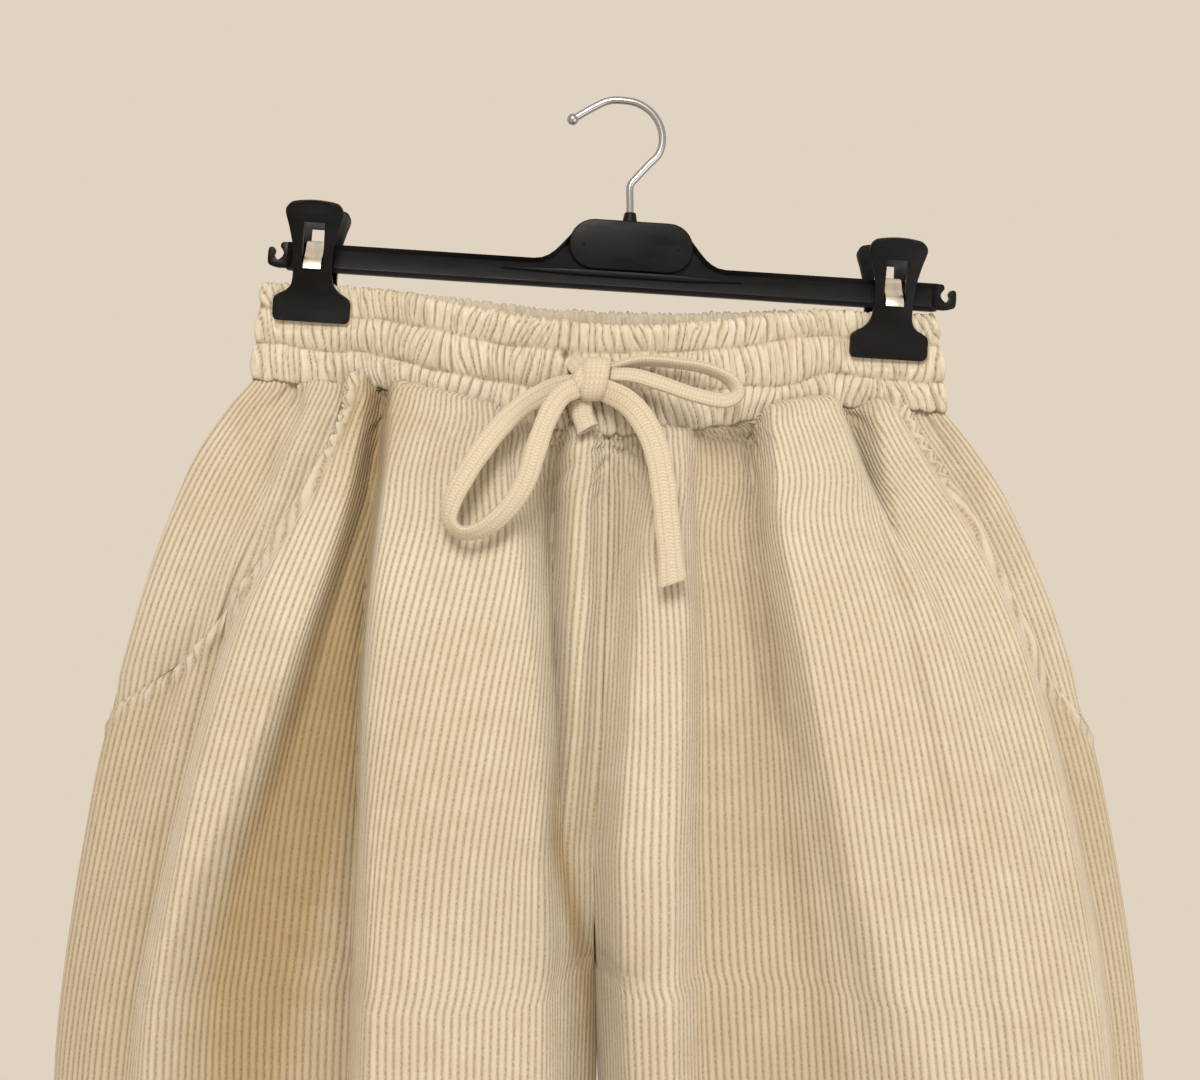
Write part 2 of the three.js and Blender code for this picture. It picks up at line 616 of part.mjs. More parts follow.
const tailLongRoute = [
  [-9.6, -53, -154.6, 25], [-1.8, -55.3, -158.8, 15], [6.2, -58.5, -168, 5], [12.2, -62, -181, 0],
  [15.6, -65, -198.4, 0], [17.4, -67.5, -218, 0], [18.8, -69, -233, 0], [19.8, -70, -247.6, 0],
];

// The short free end below the knot, and the length that comes out of the band beside it
const tailShortRoute = [[-23.6, -46.4, -158.8, 0], [-24.4, -47.8, -165, 0], [-23.6, -49.4, -173.4, 0]];
const exitRoute = [[-32.4, -38.6, -136.4, 0], [-30.8, -40.2, -137.6, 0], [-28.6, -43.2, -139.4, 0], [-26.8, -45.8, -141.4, 0]];

const cordSides = 10;

function cordTube(route, wide, thick, steps) {
  const centre = new THREE.CatmullRomCurve3(route.map(([x, y, z]) => new THREE.Vector3(x, y, z)), false, 'centripetal');
  const points = [];
  const triangles = [];
  for (let i = 0; i <= steps; i += 1) {
    const at = centre.getPoint(i / steps);
    const along = centre.getTangent(i / steps);
    const row = (i / steps) * (route.length - 1);
    const before = Math.min(Math.floor(row), route.length - 2);
    const turn = THREE.MathUtils.degToRad(mix(route[before][3], route[before + 1][3], row - before));
    const across = along.clone().cross(new THREE.Vector3(0, 1, 0)).normalize();
    const out = along.clone().cross(across);
    const flat = across.clone().multiplyScalar(Math.cos(turn)).addScaledVector(out, Math.sin(turn));
    const thin = out.clone().multiplyScalar(Math.cos(turn)).addScaledVector(across, -Math.sin(turn));
    for (let k = 0; k < cordSides; k += 1) {
      const angle = (2 * Math.PI * k) / cordSides;
      const point = at.clone().addScaledVector(flat, (wide / 2) * Math.cos(angle));
      points.push(point.addScaledVector(thin, (thick / 2) * Math.sin(angle)));
      if (i < steps) {
        const next = (k + 1) % cordSides;
        const [a, b] = [i * cordSides + k, i * cordSides + next];
        triangles.push([a, b, b + cordSides], [a, b + cordSides, a + cordSides]);
      }
    }
  }
  for (let k = 1; k < cordSides - 1; k += 1) {
    const end = steps * cordSides;
    triangles.push([0, k + 1, k], [end, end + k, end + k + 1]);
  }
  return closedGeometry(points, triangles);
}

function knot() {
  const geometry = new THREE.SphereGeometry(1, 14, 10);
  const position = geometry.getAttribute('position');
  const square = (v) => Math.sign(v) * Math.pow(Math.abs(v), 0.62);
  for (let i = 0; i < position.count; i += 1) {
    const [x, y, z] = [position.getX(i), position.getY(i), position.getZ(i)].map(square);
    position.setXYZ(i, knotCentre.x + 7.4 * x, knotCentre.y + 8 * y, knotCentre.z + 11.2 * z);
  }
  return geometry;
}

const palette = {
  corduroy: { color: 0xdccba8, roughness: 0.95, metalness: 0 },
  cord: { color: 0xddcfb0, roughness: 0.92, metalness: 0 },
  plastic: { color: 0x1b1b1c, roughness: 0.42, metalness: 0 },
  wire: { color: 0xb9bcc0, roughness: 0.2, metalness: 1 },
  spring: { color: 0xd8d4c8, roughness: 0.25, metalness: 1 },
};

const trousers = new THREE.Group();
const hanger = new THREE.Group();
hanger.rotation.y = hangerTilt;
trousers.add(hanger);

function addMesh(group, name, geometry, finish, place = [0, 0, 0]) {
  const mesh = new THREE.Mesh(geometry, new THREE.MeshStandardMaterial(palette[finish]));
  mesh.name = name;
  mesh.position.set(...place);
  group.add(mesh);
}

for (const [word, leg] of [['right', -1], ['left', 1]]) {
  addMesh(trousers, `front_panel_${word}`, frontPanel(leg), 'corduroy');
  addMesh(trousers, `back_panel_${word}`, backPanel(leg), 'corduroy');
  addMesh(trousers, `pocket_piece_${word}`, pocketPiece(leg), 'corduroy');
}
addMesh(trousers, 'waistband_front', waistband(-1), 'corduroy');
addMesh(trousers, 'waistband_back', waistband(1), 'corduroy');

addMesh(trousers, 'drawstring_knot', knot(), 'cord');
addMesh(trousers, 'drawstring_loop_right', cordTube(loopRightRoute, cordWide, cordThick, 36), 'cord');
addMesh(trousers, 'drawstring_loop_left', cordTube(loopLeftRoute, cordWide - 2, cordThick, 28), 'cord');
addMesh(trousers, 'drawstring_tail_long', cordTube(tailLongRoute, cordWide + 2, cordThick, 18), 'cord');
addMesh(trousers, 'drawstring_tail_short', cordTube(tailShortRoute, cordWide, cordThick + 1, 5), 'cord');
addMesh(trousers, 'drawstring_exit', cordTube(exitRoute, cordWide - 4.5, cordThick - 1.2, 6), 'cord');

addMesh(hanger, 'hanger_bar', hangerBar(), 'plastic');
addMesh(hanger, 'hanger_hook', hangerHook(), 'wire');
for (const [word, x] of Object.entries(clipXs)) {
  addMesh(hanger, `clip_${word}_front_jaw`, clipJaw(-1), 'plastic', [x, 0, 0]);
  addMesh(hanger, `clip_${word}_back_jaw`, clipJaw(1), 'plastic', [x, 0, 0]);
  addMesh(hanger, `clip_${word}_spring`, clipSpring(), 'spring', [x, 0, 0]);
}

export default trousers;
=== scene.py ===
# %% [markdown]
# # Corduroy trousers on a clip hanger
#
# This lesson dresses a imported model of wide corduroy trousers, hung from a clip hanger, so that it looks like
# the real thing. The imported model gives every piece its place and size. Here each piece of cloth is drawn again
# with its wales, gathers and seams, and each piece of the hanger with its rounded edges.
#
# The numbers are in millimetres, as a pattern cutter writes them. Meshes are made in metres. The origin is where
# a nail carries the hook, +Z is up, and the front faces -Y. Right and left are the wearer's.

# %% Start
import math

import bmesh
import bpy
import numpy as np
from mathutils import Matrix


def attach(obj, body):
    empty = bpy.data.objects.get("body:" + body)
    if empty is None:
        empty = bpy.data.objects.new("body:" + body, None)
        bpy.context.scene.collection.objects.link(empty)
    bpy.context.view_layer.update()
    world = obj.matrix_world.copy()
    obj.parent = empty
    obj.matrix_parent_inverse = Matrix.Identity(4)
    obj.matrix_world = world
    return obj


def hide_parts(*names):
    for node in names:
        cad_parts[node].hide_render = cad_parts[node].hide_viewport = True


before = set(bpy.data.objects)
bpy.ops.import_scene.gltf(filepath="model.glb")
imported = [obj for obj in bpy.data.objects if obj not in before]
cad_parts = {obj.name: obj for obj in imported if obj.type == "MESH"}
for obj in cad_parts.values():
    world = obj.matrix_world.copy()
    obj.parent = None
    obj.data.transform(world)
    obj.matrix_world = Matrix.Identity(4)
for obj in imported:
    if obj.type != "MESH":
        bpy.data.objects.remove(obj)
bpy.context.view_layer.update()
bpy.ops.object.select_all(action="DESELECT")
MM = 0.001
print("nodes:", len(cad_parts))

# %% [markdown]
# ## The camera
#
# The photograph looks straight at the garment, from a little to the left and from about the knot's height. A shifted
# lens keeps the picture plane upright, as in the photograph, where the trousers' sides and the bar keep their angles.
# The camera comes first; the cords' routes were measured against what it sees.

# %% Camera
def link(name, data):
    """A new object of this name, in the scene."""
    made = bpy.data.objects.new(name, data)
    bpy.context.scene.collection.objects.link(made)
    return made


EYE = (-48, -800, -163)
VIEW_CENTRE = (-12.3, -232.4)
LENS = 45
SENSOR = 36
camera_data = bpy.data.cameras.new("camera")
camera_data.lens = LENS
camera_data.sensor_width = SENSOR
camera_data.shift_x = LENS * (VIEW_CENTRE[0] - EYE[0]) / -EYE[1] / SENSOR
camera_data.shift_y = LENS * (VIEW_CENTRE[1] - EYE[2]) / -EYE[1] / SENSOR
camera_data.clip_end = 20
camera = link("camera", camera_data)
camera.location = [MM * value for value in EYE]
camera.rotation_euler = (math.radians(90), 0, 0)
bpy.context.scene.camera = camera
print("lens", LENS, "shift", round(camera_data.shift_x, 4), round(camera_data.shift_y, 4))

# %% [markdown]
# ## Small tools
#
# Cloth is worked out on grids of numbers, so these helpers work on whole arrays. `smooth_at` draws a smooth curve
# through a column of a table. `wander` is a soft, repeatable unevenness, because nothing sewn is perfectly even.

# %% Tools for numbers
def ease(low, high, value):
    """0 below low, 1 above high, and a soft rise between them."""
    share = np.clip((np.asarray(value, float) - low) / (high - low), 0, 1)
    return share * share * (3 - 2 * share)


def mix(a, b, share):
    return a + (b - a) * share


def smooth_at(places, values, at):
    """The values' smooth curve over their places, read at a place."""
    places = np.asarray(places, float)
    values = np.asarray(values, float)
    at = np.clip(at, places[0], places[-1])
    low = np.arange(len(places)) - 1
    high = np.arange(len(places)) + 1
    low[0] = 0
    high[-1] = len(places) - 1
    slopes = (values[high] - values[low]) / (places[high] - places[low])
    i = np.clip(np.searchsorted(places, at) - 1, 0, len(places) - 2)
    long = places[i + 1] - places[i]
    q = (at - places[i]) / long
    rise = q * q * (3 - 2 * q)
    start = q * (1 - q) ** 2
    end = q * q * (q - 1)
    return values[i] * (1 - rise) + values[i + 1] * rise + long * (slopes[i] * start + slopes[i + 1] * end)


def wander(x, y, seed):
    """A smooth value from -1 to 1 that changes over about one unit of x and of y."""
    lattice = np.random.default_rng(seed).uniform(-1, 1, (64, 64))
    x, y = np.broadcast_arrays(np.asarray(x, float), np.asarray(y, float))
    i = np.floor(x).astype(int)
    j = np.floor(y).astype(int)
    u = ease(0, 1, x - i)
    v = ease(0, 1, y - j)
    first = mix(lattice[i % 64, j % 64], lattice[(i + 1) % 64, j % 64], u)
    second = mix(lattice[i % 64, (j + 1) % 64], lattice[(i + 1) % 64, (j + 1) % 64], u)
    return mix(first, second, v)


def signed_power(values, power):
    """A power that keeps the sign: it makes a circle's sine and cosine into a squarer round."""
    return np.sign(values) * np.abs(values) ** power


def unit(vectors):
    long = np.linalg.norm(vectors, axis=-1, keepdims=True)
    return vectors / np.maximum(long, 1e-9)


# %% Tools for meshes
def new_object(name, points, quads, triangles=(), cloth_uv=None, hollow=None):
    """An object of this name from points in millimetres, in four-sided and three-sided faces. hollow, from 0 to 1,
    says how deep each point lies between gathers, where the material paints shade."""
    quads = np.asarray(quads, int).reshape(-1, 4)
    triangles = np.asarray(triangles, int).reshape(-1, 3)
    corners = np.concatenate([quads.ravel(), triangles.ravel()])
    starts = np.concatenate([np.arange(len(quads)) * 4, len(quads) * 4 + np.arange(len(triangles)) * 3])
    mesh = bpy.data.meshes.new(name)
    mesh.vertices.add(len(points))
    mesh.vertices.foreach_set("co", (np.asarray(points) * MM).ravel())
    mesh.loops.add(len(corners))
    mesh.loops.foreach_set("vertex_index", corners)
    mesh.polygons.add(len(starts))
    mesh.polygons.foreach_set("loop_start", starts)
    if cloth_uv is not None:
        layer = mesh.uv_layers.new(name="cloth")
        layer.data.foreach_set("uv", np.asarray(cloth_uv)[corners].ravel())
    mesh.polygons.foreach_set("use_smooth", np.ones(len(starts), bool))
    if hollow is not None:
        mesh.attributes.new("hollow", "FLOAT", "POINT").data.foreach_set("value", np.asarray(hollow, float).ravel())
    mesh.update(calc_edges=True)
    mesh.validate()
    return link(name, mesh)


def face_outward(piece):
    work = bmesh.new()
    work.from_mesh(piece.data)
    bmesh.ops.recalc_face_normals(work, faces=work.faces)
    work.to_mesh(piece.data)
    work.free()


def only(piece):
    """Makes the piece the one that is selected and active."""
    bpy.ops.object.select_all(action="DESELECT")
    piece.select_set(True)
    bpy.context.view_layer.objects.active = piece


def made_in_place(add, **settings):
    """A primitive with its place in its mesh."""
    add(**settings)
    piece = bpy.context.view_layer.objects.active
    only(piece)
    bpy.ops.object.transform_apply(location=True)
    return piece


def dress(piece, node, material):
    """The piece rides on the one body, stands for its node and takes its slot's finish."""
    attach(piece, "root")
    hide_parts(node)
    piece.data.materials.clear()
    piece.data.materials.append(material)
    print(node, "->", piece.name, len(piece.data.polygons), "faces")


# %% [markdown]
# ## Materials
#
# Corduroy is a cut pile woven in ribs, called wales. The top of a wale is soft and pale and scatters light at grazing
# angles, which is its sheen. The groove between two wales is painted darker, partly for the base weave that shows
# there and partly as painted shade in the groove, and the cut tufts along it look like short dashes. The cloth's own
# UV counts wales across and wale widths along, so the pattern follows every fold. The real grooves are in the mesh,
# and the material adds what is finer. Where the cloth lies deep between folds, the material also paints shade.

# %% Materials
def node_material(name, roughness, metallic=0.0):
    material = bpy.data.materials.new(name)
    material.use_nodes = True
    tree = material.node_tree
    shader = tree.nodes["Principled BSDF"]
    shader.inputs["Roughness"].default_value = roughness
    shader.inputs["Metallic"].default_value = metallic
    return material, tree, shader


def add_node(tree, kind, values=None, **settings):
    node = tree.nodes.new(kind)
    for key, value in settings.items():
        setattr(node, key, value)
    for key, value in (values or {}).items():
        node.inputs[key].default_value = value
    return node


def math_node(tree, operation, first, second=None, third=None):
    node = add_node(tree, "ShaderNodeMath", operation=operation)
    for slot, value in enumerate([first, second, third]):
        if value is None:
            continue
        if isinstance(value, (int, float)):
            node.inputs[slot].default_value = value
        else:
            tree.links.new(value, node.inputs[slot])
    return node.outputs[0]


def noise_node(tree, vector, scale, detail=2.0, stretch=(1, 1, 1)):
    mapping = add_node(tree, "ShaderNodeMapping", {"Scale": stretch})
    noise = add_node(tree, "ShaderNodeTexNoise", {"Scale": scale, "Detail": detail, "Roughness": 0.6})
    tree.links.new(vector, mapping.inputs["Vector"])
    tree.links.new(mapping.outputs["Vector"], noise.inputs["Vector"])
    return noise.outputs["Fac"]


def mix_colour(tree, factor, first, second, blend="MIX"):
    node = add_node(tree, "ShaderNodeMix", data_type="RGBA", blend_type=blend)
    for key, value in ((0, factor), (6, first), (7, second)):
        if isinstance(value, (int, float, tuple)):
            node.inputs[key].default_value = value
        else:
            tree.links.new(value, node.inputs[key])
    return node.outputs[2]


def range_node(tree, value, low, high, to_low=0.0, to_high=1.0):
    node = add_node(tree, "ShaderNodeMapRange", {1: low, 2: high, 3: to_low, 4: to_high},
                    interpolation_type="SMOOTHSTEP")
    tree.links.new(value, node.inputs[0])
    return node.outputs[0]


def add_bump(tree, shader, height, strength, distance):
    bump = add_node(tree, "ShaderNodeBump", {"Strength": strength, "Distance": distance})
    tree.links.new(height, bump.inputs["Height"])
    tree.links.new(bump.outputs["Normal"], shader.inputs["Normal"])


def set_inputs(shader, **values):
    """Sets plain values on the shader. An underscore stands for a space in a name."""
    for key, value in values.items():
        shader.inputs[key.replace("_", " ")].default_value = value


def linear(red, green, blue):
    """A colour as a screen shows it, from 0 to 255, in the linear values that a shader takes."""
    shares = [value / 255 for value in (red, green, blue)]
    return tuple(((share + 0.055) / 1.055) ** 2.4 if share > 0.04 else share / 12.92 for share in shares) + (1,)


CREAM = linear(197, 189, 171)
CREAM_DULL = linear(190, 180, 159)
CREAM_LIT = linear(210, 203, 188)
TAN = linear(163, 146, 114)
DEEP = linear(132, 113, 80)
WORN_PILE = linear(181, 168, 144)
# what light is left after it has bounced between folds
BETWEEN_FOLDS = (0.7, 0.6, 0.43, 1)


def corduroy_material():
    material, tree, shader = node_material("corduroy", 0.92)
    place = add_node(tree, "ShaderNodeTexCoord")
    cloth = add_node(tree, "ShaderNodeUVMap", uv_map="cloth").outputs["UV"]
    across = add_node(tree, "ShaderNodeSeparateXYZ")
    tree.links.new(cloth, across.inputs[0])
    # the groove's colour: darker towards TAN and DEEP, partly for the base weave that shows there and partly as
    # painted shade, with darker dashes where the tufts are
    to_groove = math_node(tree, "PINGPONG", across.outputs["X"], 0.5)
    groove = range_node(tree, to_groove, 0.03, 0.36, 1.0, 0.0)
    tufts = range_node(tree, noise_node(tree, cloth, 1.0, 2.0, (5, 2.6, 1)), 0.35, 0.65)
    pile = noise_node(tree, cloth, 1.0, 3.0, (9, 3.2, 1))
    worn = noise_node(tree, place.outputs["Object"], 9.0, 3.0)
    cloudy = noise_node(tree, place.outputs["Object"], 60.0, 3.0)
    ridge = mix_colour(tree, range_node(tree, worn, 0.3, 0.7), CREAM, CREAM_DULL)
    ridge = mix_colour(tree, range_node(tree, cloudy, 0.35, 0.75, 0.0, 0.4), ridge, CREAM_LIT)
    ridge = mix_colour(tree, range_node(tree, pile, 0.45, 0.8, 0.0, 0.5), ridge, WORN_PILE)
    depth = math_node(tree, "MULTIPLY", groove, range_node(tree, tufts, 0.0, 1.0, 0.5, 0.72))
    shade = mix_colour(tree, tufts, TAN, DEEP)
    tone = mix_colour(tree, depth, ridge, shade)
    # painted shade: the colour is multiplied towards BETWEEN_FOLDS where the cloth lies deep between folds
    between = add_node(tree, "ShaderNodeAttribute", attribute_name="hollow").outputs["Fac"]
    tone = mix_colour(tree, range_node(tree, between, 0.0, 1.0), tone, BETWEEN_FOLDS, "MULTIPLY")
    tree.links.new(tone, shader.inputs["Base Color"])
    height = math_node(tree, "MULTIPLY", pile, range_node(tree, tufts, 0.0, 1.0, 1.0, 0.7))
    add_bump(tree, shader, height, 0.55, 0.0006)
    set_inputs(shader, Sheen_Weight=0.25, Sheen_Roughness=0.5, Specular_IOR_Level=0.2)
    return material


def knit_material():
    """Flat knitted tube: columns of small V stitches along the cord, with painted shade in the gaps between columns
    and along the loops.
    """
    material, tree, shader = node_material("knitted_cord", 0.9)
    cloth = add_node(tree, "ShaderNodeUVMap", uv_map="cloth").outputs["UV"]
    split = add_node(tree, "ShaderNodeSeparateXYZ")
    tree.links.new(cloth, split.inputs[0])
    column = math_node(tree, "PINGPONG", split.outputs["X"], 0.5)
    slanted = math_node(tree, "ADD", split.outputs["Y"], math_node(tree, "MULTIPLY", column, 1.3))
    stitch = math_node(tree, "PINGPONG", slanted, 0.5)
    # painted shade: darker in the gaps between stitch columns and along the loops
    gap = range_node(tree, column, 0.0, 0.14, 1.0, 0.0)
    loops = range_node(tree, stitch, 0.05, 0.3, 1.0, 0.0)
    dark = math_node(tree, "MAXIMUM", gap, math_node(tree, "MULTIPLY", loops, 0.7))
    fuzz = noise_node(tree, cloth, 2.2, 3.0)
    thread = mix_colour(tree, range_node(tree, fuzz, 0.3, 0.7), linear(198, 189, 170), linear(187, 175, 152))
    tree.links.new(mix_colour(tree, math_node(tree, "MULTIPLY", dark, 0.42), thread, linear(150, 134, 106)),
                   shader.inputs["Base Color"])
    add_bump(tree, shader, math_node(tree, "SUBTRACT", 1.0, dark), 0.5, 0.0004)
    set_inputs(shader, Sheen_Weight=0.2, Specular_IOR_Level=0.25)
    return material


def plastic_material():
    """Moulded black plastic: satin, with faint flow marks and handling wear."""
    material, tree, shader = node_material("black_plastic", 0.4)
    place = add_node(tree, "ShaderNodeTexCoord").outputs["Object"]
    marks = noise_node(tree, place, 45.0, 4.0, (1, 1, 2.5))
    grain = noise_node(tree, place, 1500.0, 2.0)
    tree.links.new(mix_colour(tree, range_node(tree, marks, 0.4, 0.8), linear(7, 7, 8), linear(13, 13, 14)),
                   shader.inputs["Base Color"])
    tree.links.new(range_node(tree, marks, 0.3, 0.7, 0.34, 0.5), shader.inputs["Roughness"])
    add_bump(tree, shader, grain, 0.12, 0.0001)
    set_inputs(shader, Specular_IOR_Level=0.15)
    return material


def metal_material(name, colour, roughness, scratches):
    material, tree, shader = node_material(name, roughness, 1.0)
    place = add_node(tree, "ShaderNodeTexCoord").outputs["Object"]
    drawn = noise_node(tree, place, 60.0, 2.0, scratches)
    tree.links.new(mix_colour(tree, range_node(tree, drawn, 0.35, 0.7, 0.0, 0.35), colour, linear(176, 174, 168)),
                   shader.inputs["Base Color"])
    tree.links.new(range_node(tree, drawn, 0.3, 0.7, roughness, roughness + 0.04), shader.inputs["Roughness"])
    return material


corduroy = corduroy_material()
knit = knit_material()
plastic = plastic_material()
wire_metal = metal_material("plated_wire", linear(166, 169, 174), 0.24, (1, 1, 0.2))
spring_metal = metal_material("spring_steel", linear(236, 230, 216), 0.34, (4, 1, 0.3))
print("materials:", len(bpy.data.materials))

# %% [markdown]
# ## The shape of the hanging cloth
#
# The trousers hang from two clips, so the waist is pinched flat at the clips and bows open between them. Below
# the waist the cloth fills out over its own folds, and at the crotch it divides into two wide legs. These
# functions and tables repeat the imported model's form, with four departures. The fold below the right pocket leans
# further out, the folds stray a little sideways, the cloth is tucked in between them, and the pocket mouths run 7 mm
# further down. Everything after them adds finer relief.

# %% Form of the body
CLOTH = 2.0
SEAM = 0.3
BAND_SEAM = 0.55
MIDDLE = -13.0
WAIST_HALF = 183
WAIST_TAPER = 0.03
BAND_TOP = -104.3
BAND_SLOPE = -0.047
BAND_HEIGHT = 50
BAND_EXTRA = 4.5
BAND_SAG = {-1: 15, 1: 6}
BAND_WALL = 3.0
PINCH = 2.2
PINCH_SHARE = 0.71
BODY_TOP = -160
HEM = -1104
LEVEL_DEPTH = 260
CROTCH_DOWN = 295
CROTCH_RISE = 110
LEGS_FORM = 140
LEGS_FORMED = 340
LEG_GAP = 1.2
ROUNDNESS = 2.5

GIRTH_DOWN = [0, 18, 50, 120, 220, 360, 600, 944]
GIRTH = {
    "half": [WAIST_HALF, 198, 218, 245, 270, 288, 290, 285],
    "front": [34, 35, 34, 36, 38, 39, 37, 35],
    "back": [12, 14, 18, 25, 31, 34, 35, 35],
}
FOLD_DROPS = [165, 280, 450, 700, 1104]
# name, left edge and right edge at the five heights, rise there, and the flanks' widths at top and hem
FRONT_FOLDS = [
    ("side fold", [-176, -224, -280, -290, -290], [-137, -172, -236, -262, -262],
     [8, 11, 4, 0, 0], (12, 20), (14, 30)),
    ("pocket fold", [-150, -208, -254, -266, -266], [-128, -152, -206, -224, -230],
     [18, 30, 31, 29, 25], (14, 30), (9, 58)),
    ("large pleat", [-128, -138, -142, -146, -150], [-58, -37, -23, -18, -18],
     [22, 34, 36, 31, 27], (10, 18), (14, 30)),
    ("tucked fold", [-86, -80, -72, -72, -72], [-46, -37, -36, -36, -36],
     [13, 15, 3, 0, 0], (12, 14), (14, 24)),
    ("centre ridge", [-40, -38, -34, -34, -34], [-15, -15, -15, -15, -15],
     [12, 11, 1, 0, 0], (12, 14), (9, 12)),
    ("inner ridge", [8, -12, -14, -14, -14], [36, 38, 42, 44, 50],
     [10, 24, 31, 29, 26], (14, 18), (12, 30)),
    ("outer pleat", [66, 70, 84, 104, 114], [118, 170, 240, 262, 264],
     [21, 32, 33, 29, 25], (9, 84), (12, 34)),
    ("side ridge", [121, 132, 164, 184, 192], [150, 212, 250, 264, 264],
     [16, 28, 28, 26, 24], (12, 28), (14, 28)),
]
BACK_FOLDS = [
    ("side ridge right", [-150, -212, -246, -258, -258], [-128, -160, -196, -205, -208], [9, 12, 12, 11, 9],
     (9, 26), (9, 30)),
    ("pleat right", [-100, -112, -130, -136, -140], [-62, -58, -62, -66, -72], [10, 14, 14, 12, 10], (8, 30), (8, 30)),
    ("centre right", [-42, -38, -40, -46, -46], [-20, -18, -22, -24, -24], [8, 7, 4, 5, 5], (8, 16), (6, 12)),
    ("centre left", [2, 0, 4, 8, 8], [26, 30, 34, 38, 38], [8, 7, 4, 5, 5], (6, 12), (8, 16)),
    ("pleat left", [48, 54, 66, 70, 76], [84, 104, 124, 132, 136], [10, 14, 14, 12, 10], (8, 30), (8, 30)),
    ("side ridge left", [106, 142, 178, 190, 194], [134, 192, 226, 238, 240], [9, 12, 12, 11, 9], (9, 30), (9, 26)),
]
# where cloth is tucked in between folds: its place at the five heights, how deep, and half its width
CREASES = {
    -1: [
        ("beside the pleat", [-128, -134, -140, -143, -146], [12, 14, 5, 3, 2], 6),
        ("beside the centre ridge", [-43, -37, -35, -34, -34], [9, 11, 4, 2, 2], 4.5),
        ("beside the seam", [-4, -6, -8, -8, -8], [5, 6, 3, 0, 0], 6),
        ("beside the outer pleat", [67, 70, 110, 146, 150], [9, 6, 2, 0, 0], 6),
        ("beside the side ridge", [119, 134, 160, 170, 170], [9, 2, 0, 0, 0], 6),
        ("in the side", [-176, -206, -250, -260, -260], [5, 5, 0, 0, 0], 5),
    ],
    1: [],
}


def band_sag(x):
    share = np.clip(np.abs(x - MIDDLE) / (WAIST_HALF * PINCH_SHARE), 0, 1)
    return (1 - share * share) ** 1.7


def band_top(x, side):
    return BAND_TOP + BAND_SLOPE * (x - MIDDLE) - BAND_SAG[side] * band_sag(x)


def band_bottom(x, side):
    return band_top(x, side) - BAND_HEIGHT - BAND_EXTRA * band_sag(x)


def band_depth(x, half, deep):
    out = np.abs(x)
    share = np.clip(out / (half * PINCH_SHARE), 0, 1)
    bow = PINCH + (deep - PINCH) * (1 - share * share) ** 1.4
    end = np.clip((out - (half - PINCH)) / PINCH, 0, 1)
    return bow * np.sqrt(1 - end * end)


def fold_rise(x, z, side):
    total = 0
    spread = ease(-FOLD_DROPS[0], -FOLD_DROPS[3], z)
    folds = FRONT_FOLDS if side < 0 else BACK_FOLDS
    for number, (_, left_row, right_row, rise_row, left_flank, right_flank) in enumerate(folds):
        stray = 3.2 * wander(number * 3.7, z / 95, 31) * ease(-160, -230, z)
        left = smooth_at(FOLD_DROPS, left_row, -z)
        right = smooth_at(FOLD_DROPS, right_row, -z)
        rise = smooth_at(FOLD_DROPS, rise_row, -z)
        up = ease(0, 1, (x + stray - left) / mix(left_flank[0], left_flank[1], spread))
        down = ease(0, 1, (right - x - stray) / mix(right_flank[0], right_flank[1], spread))
        crown = 1 - 0.12 * ((2 * x - left - right) / (right - left)) ** 2
        total = total + np.maximum(0, rise * up * down * crown) ** 4
    return total ** 0.25


def crease_depth(x, z, side):
    total = 0
    for number, (_, place_row, depth_row, wide) in enumerate(CREASES[side]):
        place = smooth_at(FOLD_DROPS, place_row, -z) + 2 * wander(number * 5.3, z / 60, 37)
        depth = smooth_at(FOLD_DROPS, depth_row, -z) * (0.8 + 0.4 * wander(number * 2.1, z / 45, 38))
        total = total + depth * np.exp(-((x - place) / wide) ** 2)
    return total


def cloth_point(share, down, side, leg, parted=1):
    """The cloth's middle layer: share runs from the centre seam, 0, round to the side seam, 1. parted at 0 gives
    the body as if it didn't divide into legs."""
    half = smooth_at(GIRTH_DOWN, GIRTH["half"], down)
    deep = smooth_at(GIRTH_DOWN, GIRTH["front" if side < 0 else "back"], down)
    power = 2 / ROUNDNESS
    turn = share * math.pi / 2
    torso_x = half * np.sin(turn) ** power
    torso_y = deep * np.maximum(0, np.cos(turn)) ** power
    cosine = np.cos(2 * turn)
    lobe_x = half / 2 * (1 - signed_power(cosine, power))
    lobe_y = deep * np.maximum(0, np.sin(2 * turn)) ** power
    rise = np.clip((CROTCH_DOWN - down) / CROTCH_RISE, 0, 1)
    split = parted * (1 - np.sqrt(1 - (1 - rise) ** 2))
    apart = mix(split, parted * ease(LEGS_FORM, LEGS_FORMED, down), ease(0, 0.4, share))
    inner = SEAM / 2 + split * CLOTH / 2 + LEG_GAP * ease(CROTCH_DOWN, CROTCH_DOWN + 100, down)
    out = mix(torso_x, lobe_x, apart)
    x = MIDDLE + leg * (inner + out * (half - inner) / half)
    round_depth = mix(torso_y, lobe_y, apart)
    depth = mix(band_depth(out, half, deep), round_depth, ease(0, 130, down))
    level = 1 - ease(0, LEVEL_DEPTH, down)
    z = BODY_TOP - down + (band_bottom(x, side) - BAND_SEAM - BODY_TOP) * level
    shoulder = np.sqrt(1 - (1 - np.clip(down / 15, 0, 1)) ** 2)
    folds = fold_rise(x, z, side)
    stand = folds * mix(0.1, 1, shoulder) * ease(0, 0.6, round_depth / deep)
    z = z + 0.9 * folds * shoulder * np.exp(-down / 9)
    tuck = crease_depth(x, z, side) * ease(0, 12, down) * ease(0, 0.6, round_depth / deep)
    return np.stack([x, side * (depth + stand - np.minimum(tuck, depth * 0.5)), z], axis=-1)


